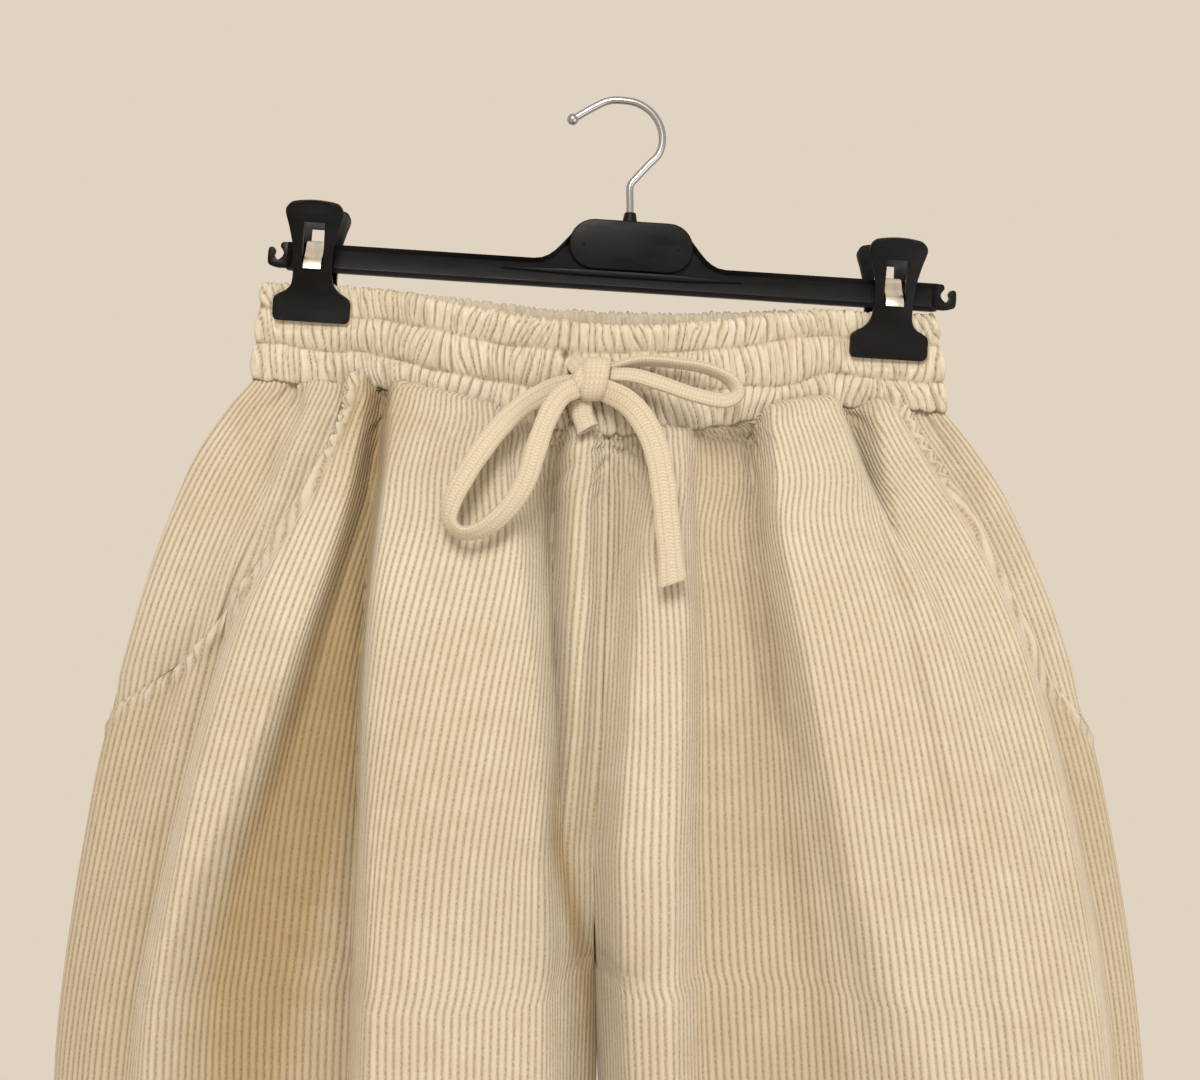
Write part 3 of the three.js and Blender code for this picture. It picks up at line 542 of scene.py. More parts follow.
# %% [markdown]
# ## Laying wales on the form
#
# A panel is cut with its wales running down it, so the same wales reach from the waist to the hem. At the waist
# the folds crowd them together, and they fan out below. Each row of the panel is therefore measured along the
# cloth and divided into the same number of wales. The pocket mouth then cuts the front panel across its wales,
# and what is behind the mouth is a piece of its own on the same surface.

# %% Rows of wales
WALES = 92
# columns of points to a wale, and the height of the pile at each
PER_WALE = 5
BACK_PER_WALE = 4
PROFILES = {PER_WALE: np.array([0.0, 0.76, 1.0, 1.0, 0.76]), BACK_PER_WALE: np.array([0.0, 0.9, 1.0, 0.9])}
# the inner face of a panel has one row of points to this many of the outer face
COARSE = 4
# millimetres along a wale to one unit of the pattern
PATTERN_LENGTH = 4.2
WALE_RISE = 0.8
GROOVE_OUT = 0.5
FRONT_DROPS = np.concatenate([np.arange(0, 40, 2.0), np.linspace(40, BODY_TOP - HEM, 149)])
BACK_DROPS = np.concatenate([np.arange(0, 40, 4.0), np.linspace(40, BODY_TOP - HEM, 107)])
MOUTH_DOWN = {-1: [0, 40, 78, 130, 152, 170, 177], 1: [0, 43, 81, 130, 152, 170, 177]}
MOUTH_SHARE = {-1: [0.442, 0.417, 0.462, 0.58, 0.72, 0.97, 1], 1: [0.64, 0.63, 0.659, 0.72, 0.81, 0.97, 1]}
MOUTH_END = 176
STRAIGHTEN = 85
# the least that cloth keeps from the seam plane and from the centre line
EDGE = 0.03
FACE_EDGE = 0.8
# what only the front has: painted shade in the valley inside the pocket fold and a painted shadow line beside the
# centre seam, each with its place at some heights. The centre seam itself sways from side to side.
VALLEY_DOWN = [165, 280, 450, 700]
VALLEY_X = [-124, -146, -190, -206]
SHADOW_DOWN = [300, 369, 452, 560]
SHADOW_X = [-42, -36, -18, -14]
SWAY_DOWN = [160, 200, 260, 326, 386, 450, 560]
SWAY_X = [4, 4, 2.5, 0, -4.5, -2.5, 0]
SWAY_WIDE = 45
HEM_DEEP = 25
GATHER_REACH = 17
SEAM_SUNK = 0.9
SEAM_WIDE = 1.6


def lay_cloth(drops, side, leg, per_wale):
    """Points and outward normals of a whole panel on its middle layer, and in each row its first column, the pocket
    mouth's column and the length along the cloth. Columns are counted in from the side seam, one wale's width
    apart, so that wales run straight down past the crotch and only the cut of the inside leg adds to them. Each
    column is then straightened over some rows, because a wale doesn't follow every bump across the cloth."""
    shares = np.linspace(0, 1, 700)
    line = cloth_point(shares[None, :], drops[:, None], side, leg)
    body = cloth_point(shares[None, :], drops[:, None], side, leg, parted=0)
    steps = np.linalg.norm(np.diff(line, axis=1), axis=2)
    along = np.concatenate([np.zeros((len(drops), 1)), np.cumsum(steps, axis=1)], axis=1)
    totals = along[:, -1]
    pitch = np.linalg.norm(np.diff(body, axis=1), axis=2).sum(axis=1) / WALES / per_wale
    pitch = np.where(drops < LEGS_FORM, totals / WALES / per_wale, pitch)
    count = int(math.ceil(np.max(totals / pitch) / per_wale)) * per_wale
    first = np.maximum(count - totals / pitch, 0)
    points = np.empty((len(drops), count + 1, 3))
    mouth = np.full(len(drops), float(count))
    order = np.arange(count + 1)
    from_side = count - order
    reach = (line[..., 0] - line[:, :1, 0]) / (line[:, -1:, 0] - line[:, :1, 0])
    even = np.empty((len(drops), count + 1))
    for i, down in enumerate(drops):
        sway = 0.5 * wander(from_side * pitch[i] / 28, down / 60, 3 + leg) * ease(0, 40, from_side)
        even[i] = np.interp(totals[i] - from_side * pitch[i] + sway, along[i], reach[i])
    spread = 0.1 + STRAIGHTEN * ease(10, 160, drops)[:, None]
    weights = np.exp(-((drops[None, :] - drops[:, None]) / spread) ** 2) * np.gradient(drops)[None, :]
    straight = weights / weights.sum(axis=1, keepdims=True) @ even
    for i, down in enumerate(drops):
        start = np.interp(first[i], order, straight[i])
        straight[i] = np.clip((straight[i] - start) / (1 - start), 0, 1)
        for axis in range(3):
            points[i, :, axis] = np.interp(straight[i], reach[i], line[i, :, axis])
        if side < 0 and down <= MOUTH_END:
            share = smooth_at(MOUTH_DOWN[leg], MOUTH_SHARE[leg], down)
            mouth[i] = np.interp(np.interp(share, shares, reach[i]), straight[i], order)
    normals = unit(np.cross(np.gradient(points, axis=1), np.gradient(points, axis=0)))
    flat = np.linalg.norm(normals, axis=-1) < 0.5
    normals[flat] = (0, side, 0)
    if np.sum(normals[..., 1]) * side < 0:
        normals[~flat] = -normals[~flat]
    return points, normals, first, mouth, totals, pitch


def clamp_columns(values, columns):
    low = np.minimum(np.floor(columns).astype(int), values.shape[1] - 2)
    share = columns - low
    rows = np.arange(values.shape[0])[:, None]
    if values.ndim == 3:
        share = share[..., None]
    return mix(values[rows, low], values[rows, low + 1], share)


def stitch(outer, inner, every):
    """Three-sided faces between an edge of the outer face and the coarser edge of the inner face."""
    faces = []
    for m in range(len(inner) - 1):
        chain = outer[m * every:(m + 1) * every + 1]
        faces += [(chain[k], chain[k + 1], inner[m]) for k in range(len(chain) - 1)]
        faces.append((chain[-1], inner[m + 1], inner[m]))
    return [face for face in faces if len(set(face)) == 3]


def grid_faces(index):
    a, b, c, d = index[:-1, :-1], index[:-1, 1:], index[1:, 1:], index[1:, :-1]
    corners = np.stack([a, b, c, d], axis=-1).reshape(-1, 4)
    top_closed = corners[:, 0] == corners[:, 1]
    bottom_closed = corners[:, 2] == corners[:, 3]
    quads = corners[~top_closed & ~bottom_closed]
    triangles = np.concatenate([
        corners[top_closed & ~bottom_closed][:, [0, 2, 3]],
        corners[~top_closed & bottom_closed][:, [0, 1, 2]],
    ])
    return quads, triangles


def seam_sway(points):
    """How far the cloth near the centre seam hangs to one side: a seam is never quite straight."""
    sway = np.interp(-points[..., 2], SWAY_DOWN, SWAY_X)
    return sway * np.exp(-((points[..., 0] - MIDDLE) / SWAY_WIDE) ** 2)


def cloth_panel(name, points, normals, height, hollow, first, last, side, leg, per_wale, back=CLOTH / 2):
    """A closed wall of cloth. height is how far its face stands off the middle layer. Columns before first and
    after last are drawn in to those edges, which may run across the wales."""
    rows, count = height.shape
    columns = np.clip(np.arange(count)[None, :], first[:, None], np.maximum(first, last)[:, None])
    base = clamp_columns(points, columns)
    out = unit(clamp_columns(normals, columns))
    face = base + out * clamp_columns(height, columns)[..., None]
    inner = base - out * back
    for layer, least in ((face, FACE_EDGE), (inner, EDGE)):
        layer[..., 1] = side * np.maximum(least, side * layer[..., 1])
        layer[..., 0] = MIDDLE + leg * np.maximum(EDGE, leg * (layer[..., 0] - MIDDLE))
        layer[0, :, 2] = base[0, :, 2]
        layer[-1, :, 2] = base[-1, :, 2]
        joined = (columns == first[:, None]) & (base[..., 2] > BODY_TOP - CROTCH_DOWN + 25)
        joined &= np.abs(base[..., 0] - MIDDLE) < 4
        layer[joined, 0] = MIDDLE + leg * EDGE
        layer[..., 0] += seam_sway(layer)
    fresh = np.ones((rows, count), bool)
    fresh[:, 1:] = np.diff(columns, axis=1) > 1e-9
    index = (np.cumsum(fresh.ravel()) - 1).reshape(rows, count)
    every_row, every_column = COARSE, per_wale
    coarse = index[::every_row, ::every_column]
    used, renamed = np.unique(coarse, return_inverse=True)
    inner_index = renamed.reshape(coarse.shape) + index.max() + 1
    face_points = face[fresh]
    inner_points = inner[fresh][used]
    quads, triangles = grid_faces(index)
    inner_quads, inner_triangles = grid_faces(inner_index)
    edges = stitch(index[0], inner_index[0], every_column) + stitch(index[-1], inner_index[-1], every_column)
    edges += stitch(index[:, 0], inner_index[:, 0], every_row) + stitch(index[:, -1], inner_index[:, -1], every_row)
    down = np.cumsum(np.linalg.norm(np.diff(base[:, count // 2], axis=0), axis=1))
    lengths = np.concatenate([[0], down])[:, None] / PATTERN_LENGTH
    uv = np.stack([(count - 1 - columns) / per_wale, np.broadcast_to(lengths, columns.shape)], axis=-1)[fresh]
    piece = new_object(
        name,
        np.concatenate([face_points, inner_points]),
        np.concatenate([quads, inner_quads]),
        np.concatenate([triangles, inner_triangles, np.array(edges).reshape(-1, 3)]),
        np.concatenate([uv, uv[used]]),
        np.concatenate([hollow[fresh], hollow[fresh][used]]),
    )
    face_outward(piece)
    return piece


def wale_height(drops, points, side, pitch, per_wale, seed):
    """How far the pile stands off the middle layer: the wales, puckers under the band, slow waves, seams and hem.
    The puckers are between the folds, whose fronts are drawn smooth. The second result says how deep each place lies
    between the folds, where the material paints shade; on the front it also holds painted shade in the valley inside
    the pocket fold and a painted shadow line beside the centre seam."""
    count = points.shape[1] - 1
    folds = fold_rise(points[..., 0], points[..., 2], side)
    smooth = np.clip(folds / 14, 0, 1)
    from_side = (count - np.arange(count + 1))[None, :]
    step = from_side % per_wale
    wale = from_side // per_wale
    uneven = 1 + 0.16 * wander(wale * 0.9, drops[:, None] / 25, seed)
    pile = GROOVE_OUT + WALE_RISE * PROFILES[per_wale][step] * uneven
    place = from_side * pitch[:, None]
    below = drops[:, None]
    ridges = 1 - np.abs(wander(place / 8.5, below / 40, seed + 1)) * 3
    smaller = wander(place / 4.2, below / 26, seed + 4)
    fading = np.exp(-below / GATHER_REACH) * ease(0, 3, below)
    gathered = (2.2 * ridges + 1.4 * smaller) * fading * (1 - 0.6 * smooth)
    wrinkled = 1.1 * wander(place / 30, below / 140, seed + 2) + 0.5 * wander(place / 13, below / 70, seed + 3)
    wrinkled = wrinkled * ease(0, 25, below)
    to_hem = drops[-1] - below
    hem = 0.7 * (1 - ease(HEM_DEEP - 1, HEM_DEEP + 2, to_hem))
    hem = hem - SEAM_SUNK * np.exp(-((to_hem - HEM_DEEP) / SEAM_WIDE) ** 2)
    side_seam = -SEAM_SUNK * np.exp(-((place - 0.5) / SEAM_WIDE) ** 2)
    x, down = points[..., 0], -points[..., 2]
    # painted shade: the colour darkens between folds, less near the centre seam, and on the front also in the pocket
    # fold's valley and along the shadow line beside the centre seam
    valley = np.exp(-((x - np.interp(down, VALLEY_DOWN, VALLEY_X)) / 24) ** 2) * (1 - ease(400, 640, down))
    middle = np.exp(-((x - MIDDLE) / 38) ** 2)
    crease = np.exp(-((x - np.interp(down, SHADOW_DOWN, SHADOW_X)) / 6) ** 2) * ease(320, 380, down)
    hollow = (1 - ease(2, 24, folds)) * (0.42 - 0.3 * middle)
    if side < 0:
        hollow = hollow + 0.8 * valley * (1 - ease(14, 30, folds)) + 0.7 * crease * (1 - ease(470, 600, down))
    return pile + gathered + wrinkled * 0.8 + hem + side_seam, hollow


# %% [markdown]
# ## Front panels and pocket pieces
#
# Each front panel ends at a slanted pocket mouth. The mouth is turned under and stitched, which makes its edge
# thicker and puckers it between stitches. The pocket piece behind it starts under that edge.

# %% Fronts
HEM_WIDE = 9.0
STITCH_LENGTH = 6.6
POCKET_RECESS = 3.4
# how much further the pocket piece is sunk where the front covers it
COVERED = 2.2
TUCK = 18


def centre_seam(height, first, pitch):
    """Draws the cloth in along the centre seam and the inside leg."""
    from_edge = (np.arange(height.shape[1])[None, :] - first[:, None]) * pitch[:, None]
    return height - 0.45 * np.exp(-(np.maximum(from_edge, 0) / 2.6) ** 2)


def make_front(leg, word):
    points, normals, first, mouth, totals, pitch = lay_cloth(FRONT_DROPS, -1, leg, PER_WALE)
    count = points.shape[1] - 1
    height, hollow = wale_height(FRONT_DROPS, points, -1, pitch, PER_WALE, 20 + leg)
    height = centre_seam(height, first, pitch)
    below = FRONT_DROPS[:, None]
    at_mouth = below <= MOUTH_END
    edge = mouth + np.where(FRONT_DROPS <= MOUTH_END - 8, 0.9 / pitch * np.sin(FRONT_DROPS * 0.95), 0)
    to_edge = (edge[:, None] - np.arange(count + 1)[None, :]) * pitch[:, None]
    turned = np.where(at_mouth, 1 - ease(HEM_WIDE - 2, HEM_WIDE + 1, to_edge), 0)
    slant = 2 * math.pi * (below / STITCH_LENGTH + 0.1 * to_edge) + 1.2 * wander(below / 15, 0, 7)
    pucker = np.sin(slant) * np.exp(-((to_edge - 5) / 5) ** 2)
    seam = np.exp(-((to_edge - HEM_WIDE) / 1.1) ** 2) * (0.7 + 0.3 * np.sin(slant))
    fading = 1 - ease(MOUTH_END - 62, MOUTH_END - 8, below)
    front_height = height + turned * (0.5 + 2.5 * fading) + np.where(at_mouth, 1.7 * pucker - 2.1 * seam, 0)
    rounding = np.sqrt(1 - np.clip(1 - to_edge / 1.5, 0, 1) ** 2)
    front_height = np.where(at_mouth, mix(-0.4, front_height, rounding), front_height)
    # the turned mouth edge takes little of the painted shade
    front = cloth_panel(
        f"corduroy_front_{word}", points, normals, front_height, hollow * (1 - 0.85 * turned), first, edge, -1, leg,
        PER_WALE,
    )
    dress(front, f"front_panel_{word}", corduroy)

    rows = int(np.searchsorted(FRONT_DROPS, MOUTH_END)) + 4
    rows = rows - (rows - 1) % COARSE
    past = -to_edge[:rows]
    tuck = mouth[:rows] - TUCK / pitch[:rows]
    sunk = POCKET_RECESS * (1 - ease(4, 25, past)) + COVERED * (1 - ease(-2, 4, past))
    sunk = sunk * (0.55 + 0.45 * fading[:rows])
    sunk = np.where(FRONT_DROPS[:rows, None] > MOUTH_END, POCKET_RECESS + COVERED, sunk)
    # the pocket piece takes less of the painted shade
    piece = cloth_panel(
        f"corduroy_pocket_{word}", points[:rows], normals[:rows], height[:rows] - sunk, 0.4 * hollow[:rows], tuck,
        np.full(rows, float(count)), -1, leg, PER_WALE, back=CLOTH / 2 + POCKET_RECESS + 1.5,
    )
    dress(piece, f"pocket_piece_{word}", corduroy)
    return front, piece, totals


panels = {}
for leg, word in ((-1, "right"), (1, "left")):
    panels[f"front_{word}"], panels[f"pocket_{word}"], front_totals = make_front(leg, word)
    print("front", word, "is", round(front_totals[-1]), "mm round at the hem")

# %% [markdown]
# ## Back panels
#
# The back is plain: two panels with softer folds and the same wales.

# %% Backs
def make_back(leg, word):
    points, normals, first, last, _, pitch = lay_cloth(BACK_DROPS, 1, leg, BACK_PER_WALE)
    height, hollow = wale_height(BACK_DROPS, points, 1, pitch, BACK_PER_WALE, 40 + leg)
    height = centre_seam(height, first, pitch)
    # the back takes less of the painted shade than the front
    back = cloth_panel(
        f"corduroy_back_{word}", points, normals, height, 0.6 * hollow, first, last, 1, leg, BACK_PER_WALE,
    )
    dress(back, f"back_panel_{word}", corduroy)
    return back


panels["back_right"] = make_back(-1, "right")
panels["back_left"] = make_back(1, "left")

# %% [markdown]
# ## The gathered waistband
#
# The band is a tube of corduroy, stretched while it is sewn over wide elastic in three rows. When the elastic
# pulls back, each wale stands up as a small pillow between two lines of stitching. The pillows of one row don't
# quite meet those of the next, and the row at the top stands free as a frill. The band goes over its top edge and
# down inside, because its back shows above its front.

# %% Waistband
ROW_EDGES = [0.0, 0.37, 0.74, 1.0]
ROW_PUFF = [2.0, 2.4, 1.5]
# where the two lines of stitching cross the band's height, at places along it
STITCH_X = [-196, -139, -64, -13, 27, 86, 111, 160]
STITCH_LOW = [0.375, 0.31, 0.33, 0.41, 0.39, 0.27, 0.33, 0.29]
STITCH_HIGH = [0.74, 0.69, 0.71, 0.745, 0.745, 0.73, 0.745, 0.69]
PILLOW = 4.2
PILLOW_COLUMNS = 7
PILLOW_RISE = 3.7
CLIP_GRIPS = [(-165.3, -117.7), (140, -137.6)]
CLIP_HALF = 20.5
SLIT = (-31.6, -135.2)


def pillow_rows(length, row, seed):
    """Edges of the pillows of one row, unevenly wide, along the band, and how full each is."""
    random = np.random.default_rng(seed + row)
    widths = PILLOW * random.uniform(0.55, 1.45, int(length / PILLOW * 1.4))
    edges = np.concatenate([[0], np.cumsum(widths)])
    edges = edges[edges < length - 2]
    return np.append(edges, length), random.uniform(0.6, 1.15, len(edges) + 1)


def band_relief(along, share, length, seed):
    """How far the band's cloth stands off its wall at a distance along it and a share of its height, and how deep each
    place lies between pillows, which the material paints with shade."""
    along, share = np.broadcast_arrays(along, share)
    relief = np.zeros(along.shape)
    hollow = np.zeros(along.shape)
    for row in range(3):
        low, high = ROW_EDGES[row], ROW_EDGES[row + 1]
        inside = (share >= low) & (share <= high)
        rise = np.clip((share - low) / (high - low), 0, 1)
        reach = rise if row < 2 else rise * 0.62
        arch = np.maximum(np.sin(math.pi * reach), 0) ** 0.5
        edges, sizes = pillow_rows(length, row, seed)
        lean = 4.6 * wander(along / 30, row * 7.0, seed + 5) + 1.6 * wander(along / 8, row * 5.0, seed + 6)
        bend = 0.9 * wander(along / 5, rise * 1.9 + row * 9, seed + 7)
        at = np.clip(along + lean * (rise - 0.5) * 1.6 + bend, 0, length - 1e-6)
        k = np.clip(np.searchsorted(edges, at, side="right") - 1, 0, len(edges) - 2)
        q = (at - edges[k]) / (edges[k + 1] - edges[k])
        pillow = np.maximum(np.sin(math.pi * q), 0) ** 0.6
        dent = 0.35 * np.exp(-((q - 0.5) / 0.13) ** 2) * (edges[k + 1] - edges[k] > PILLOW)
        stand = ROW_PUFF[row] * arch + PILLOW_RISE * (pillow - dent) * sizes[k] * (0.3 + 0.7 * arch)
        relief = np.where(inside, stand, relief)
        # painted shade: deepest in the gaps between pillows and along the stitched rows
        hollow = np.where(inside, np.maximum(1 - pillow * 1.25, (1 - arch * 1.6) * 0.8), hollow)
    return relief, np.clip(hollow, 0, 1)


def make_band(side, word):
    deep = smooth_at(GIRTH_DOWN, GIRTH["front" if side < 0 else "back"], 0)
    turn = np.linspace(-math.pi / 2, math.pi / 2, 1601)
    wide = WAIST_HALF * signed_power(np.sin(turn), 2 / ROUNDNESS)
    line = np.stack([MIDDLE + wide, side * band_depth(wide, WAIST_HALF, deep)], axis=-1)
    run = np.concatenate([[0], np.cumsum(np.linalg.norm(np.diff(line, axis=0), axis=1))])
    length = run[-1]
    columns = int(length / PILLOW * PILLOW_COLUMNS)
    along = np.linspace(0, length, columns + 1)
    x = np.interp(along, run, line[:, 0])
    y = np.interp(along, run, line[:, 1])
    normal = unit(np.stack([-np.gradient(y), np.gradient(x)], axis=-1)) * side
    normal[0] = (-1, 0)
    normal[-1] = (1, 0)
    outside = np.concatenate([np.linspace(0, 0.95, 50), [0.97, 0.985, 0.996]])
    inside = outside[::-3]
    shares = np.concatenate([outside, inside])
    sign = np.concatenate([np.ones(len(outside)), -np.ones(len(inside))])[:, None]
    low, high = band_bottom(x, side)[None, :], band_top(x, side)[None, :]
    z = mix(low, high, shares[:, None])
    wobble = 0.02 * wander(along[None, :] / 14, shares[:, None] * 3, 90) * ease(0, 0.1, shares)[:, None]
    sewn = np.empty((len(shares), columns + 1))
    for column, place in enumerate(x):
        low_line = smooth_at(STITCH_X, STITCH_LOW, place)
        high_line = smooth_at(STITCH_X, STITCH_HIGH, place)
        sewn[:, column] = np.interp(shares + wobble[:, column], [0, low_line, high_line, 1], ROW_EDGES)
    relief, hollow = band_relief(along[None, :], sewn, length, 60 + side)
    relief = relief * ease(-0.5, 3, np.minimum(along, length - along))[None, :]
    for grip, jaw_foot in CLIP_GRIPS:
        under = (1 - ease(CLIP_HALF, CLIP_HALF + 5, np.abs(x - grip)))[None, :] * ease(jaw_foot - 5, jaw_foot, z)
        relief = mix(relief, np.minimum(relief, 1.3) * 0.8, under)
    relief = np.where(sign > 0, relief, 0.4 * relief)
    if side < 0:
        # the slit is a dent in the cloth, with painted shade in it
        slit = np.exp(-(((x[None, :] - SLIT[0]) / 2.6) ** 2) - ((z - SLIT[1]) / 1.8) ** 2) * (sign > 0)
        relief = relief - 3.0 * slit
        hollow = np.clip(hollow + slit, 0, 1)
    crest = np.sqrt(1 - np.clip((shares[:, None] - 0.9) / 0.1, 0, 1) ** 2)
    offset = sign * (BAND_WALL / 2 + relief) * crest
    frill, _ = band_relief(along, np.full(len(along), 0.86), length, 60 + side)
    taper = 1 - WAIST_TAPER * shares[:, None]
    points = np.empty((len(shares), columns + 1, 3))
    points[..., 0] = MIDDLE + (x[None, :] + normal[None, :, 0] * offset - MIDDLE) * taper
    points[..., 1] = side * np.maximum(SEAM / 2, side * (y[None, :] + normal[None, :, 1] * offset))
    foot = -0.9 - 2.4 * np.abs(wander(along / 8, 0, 71 + side))
    lift = ease(0.8, 1, shares)[:, None] * 0.75 * (frill - 2.6)[None, :]
    points[..., 2] = z + lift + (1 - ease(0, 0.08, shares))[:, None] * foot[None, :]
    rows, count = points.shape[:2]
    index = np.arange(rows * count).reshape(rows, count)
    quads, _ = grid_faces(index)
    closing = np.stack([index[-1, :-1], index[-1, 1:], index[0, 1:], index[0, :-1]], axis=-1)
    half = len(outside)
    ends = []
    for column in (0, count - 1):
        ends += stitch(index[:half, column][::-1], index[half:, column], 3)
    uv = np.stack([
        np.broadcast_to(along[None, :] / PILLOW, (rows, count)),
        np.broadcast_to(shares[:, None] * BAND_HEIGHT / PATTERN_LENGTH + 40, (rows, count)),
    ], axis=-1).reshape(-1, 2)
    # the band's inside face gets an even painted shade
    hollow = np.where(sign > 0, hollow, 0.3)
    band = new_object(
        f"corduroy_band_{word}", points.reshape(-1, 3), np.concatenate([quads, closing]), ends, uv, hollow,
    )
    face_outward(band)
    dress(band, f"waistband_{word}", gathered_corduroy)
    return band, length


def gathered_material():
    """The band's cloth: the same pile. Its wales are drawn up into the pillows, so only their traces show. Shade is
    painted into the hollows between the pillows.
    """
    material, tree, shader = node_material("gathered_corduroy", 0.92)
    place = add_node(tree, "ShaderNodeTexCoord").outputs["Object"]
    pile = noise_node(tree, place, 900.0, 3.0, (1, 1, 0.45))
    streak = noise_node(tree, place, 330.0, 2.0, (1.7, 1, 0.22))
    worn = noise_node(tree, place, 14.0, 3.0)
    tone = mix_colour(tree, range_node(tree, worn, 0.3, 0.7), CREAM, CREAM_DULL)
    tone = mix_colour(tree, range_node(tree, streak, 0.48, 0.7, 0.0, 0.55), tone, CREAM_LIT)
    tone = mix_colour(tree, range_node(tree, streak, 0.3, 0.48, 0.5, 0.0), tone, TAN)
    # painted shade: darker towards DEEP where hollow says the cloth lies between pillows, in the slit and inside the
    # band
    deep = add_node(tree, "ShaderNodeAttribute", attribute_name="hollow").outputs["Fac"]
    tone = mix_colour(tree, range_node(tree, deep, 0.15, 0.9, 0.0, 0.88), tone, DEEP)
    tree.links.new(tone, shader.inputs["Base Color"])
    add_bump(tree, shader, math_node(tree, "ADD", pile, streak), 0.5, 0.0006)
    set_inputs(shader, Sheen_Weight=0.2, Specular_IOR_Level=0.2)
    return material


gathered_corduroy = gathered_material()
band_front, band_length = make_band(-1, "front")
band_back, back_length = make_band(1, "back")
print("band lengths", round(band_length), round(back_length), "mm")

# %% [markdown]
# ## The drawstring
#
# The drawstring is a knitted tube pressed flat. It comes out of a slit in the band and is tied in a bow, whose
# loops and ends hang under their own weight. Each route below gives points on the cord's middle line and how far
# its flat side is turned away from the viewer.

# %% Drawstring
CORD_WIDE = 10.6
CORD_THICK = 4.4
CORD_SIDES = 24
KNIT_COLUMNS = 10
KNIT_LENGTH = 1.7
ROUTES = {
    "loop_right": [
        (-26.6, -46.5, -150, 10), (-38, -49, -152.5, 5), (-54.5, -57, -162, 0), (-68.5, -68, -176.5, 0),
        (-80.5, -72.5, -194, 10), (-87.4, -73.5, -208, 25), (-88.2, -73.5, -217.5, 50), (-82, -74.5, -222.6, 55),
        (-71.2, -74.5, -220, 40), (-59.8, -74, -210.5, 20), (-51.4, -73.5, -197, 10), (-46.2, -71, -181, 5),
        (-40.6, -66, -166, 5), (-34, -59.5, -156, 8), (-26.6, -55, -152, 10),
    ],
    "loop_left": [
        (-9, -45.6, -142.6, 60), (5.6, -47, -138.4, 64), (24.5, -48, -139.6, 66), (40, -49, -142.6, 62),
        (50.4, -51.5, -148.2, 58), (53, -56.5, -155.2, 50), (45.6, -60.5, -158.4, 42), (31, -60.5, -155.4, 38),
        (15.6, -57.5, -150, 38), (2.4, -54, -146, 42), (-9, -51.8, -145.2, 48),
    ],
    "tail_long": [
        (-13.5, -51.5, -152.6, 28), (-1.8, -55.3, -158.8, 15), (6.2, -58.5, -168, 5), (12.2, -62, -181, 0),
        (15.6, -65, -198.4, 0), (17.4, -67.5, -218, 0), (18.8, -69, -233, 0), (19.8, -70, -247.6, 0),
    ],
    "tail_short": [(-23.6, -46.4, -156.8, 0), (-23.4, -48.2, -165, 0), (-20.8, -51.6, -172.8, 0)],
    "exit": [
        (-29.8, -26, -135.4, 0), (-28.9, -34, -136.6, 0), (-27.6, -40, -138.4, 0), (-25.4, -44, -141.2, 0),
        (-22.4, -46.6, -144.6, 0),
    ],
}


def route_line(route, count):
    """Evenly spaced points on a smooth curve through the route, its turns and its length."""
    route = np.array(route, float)
    gaps = np.linalg.norm(np.diff(route[:, :3], axis=0), axis=1)
    knots = np.concatenate([[0], np.cumsum(np.sqrt(gaps))])
    dense = np.linspace(0, knots[-1], 400)
    line = np.stack([smooth_at(knots, route[:, axis], dense) for axis in range(4)], axis=-1)
    run = np.concatenate([[0], np.cumsum(np.linalg.norm(np.diff(line[:, :3], axis=0), axis=1))])
    at = np.linspace(0, run[-1], count)
    return np.stack([np.interp(at, run, line[:, axis]) for axis in range(4)], axis=-1), run[-1]


def cord_sweep(name, route, wide, thick, steps, open_end, flare, slant):
    """A flat tube along a route. An open end is hollow this deep, flares and is cut at a slant."""
    line, length = route_line(route, steps + 1)
    centre = line[:, :3]
    along = unit(np.gradient(centre, axis=0))
    across = unit(np.cross(along, (0, 1, 0)))
    out = np.cross(along, across)
    turn = np.radians(line[:, 3])[:, None]
    flat = across * np.cos(turn) + out * np.sin(turn)
    thin = out * np.cos(turn) - across * np.sin(turn)
    angle = np.linspace(0, 2 * math.pi, CORD_SIDES, endpoint=False)
    share = np.linspace(0, 1, steps + 1)
    broad = wide / 2 * (1 + 0.035 * wander(share * length / 9, 0, 81)) * (1 + flare * ease(0.86, 1, share))
    cosine = signed_power(np.cos(angle), 0.8)
    sine = signed_power(np.sin(angle), 0.75)
    rings = (
        centre[:, None, :]
        + flat[:, None, :] * (broad[:, None] * cosine[None, :])[..., None]
        + thin[:, None, :] * (thick / 2 * sine)[None, :, None]
    )
    cut = slant * cosine[None, :] * wide / 2 * ease(0.85, 1, share)[:, None]
    rings = rings + along[:, None, :] * cut[..., None]
    if open_end:
        mouth = mix(centre[-1], rings[-1], 0.62)
        inside = mouth - along[-1] * open_end
        rings = np.concatenate([rings, mouth[None] + along[-1] * 0.2, inside[None]])
    rows = len(rings)
    index = np.arange(rows * CORD_SIDES).reshape(rows, CORD_SIDES)
    index = np.concatenate([index, index[:, :1]], axis=1)
    quads, _ = grid_faces(index)
    caps = []
    for k in range(1, CORD_SIDES - 1):
        caps += [(0, k, k + 1), (index[-1, 0], index[-1, k + 1], index[-1, k])]
    around = np.arange(CORD_SIDES) / CORD_SIDES * KNIT_COLUMNS
    uv = np.stack([
        np.broadcast_to(around[None, :], (rows, CORD_SIDES)),
        np.broadcast_to((np.arange(rows) / steps * length / KNIT_LENGTH)[:, None], (rows, CORD_SIDES)),
    ], axis=-1).reshape(-1, 2)
    piece = new_object(name, rings.reshape(-1, 3), quads, caps, uv)
    face_outward(piece)
    return piece, centre, length


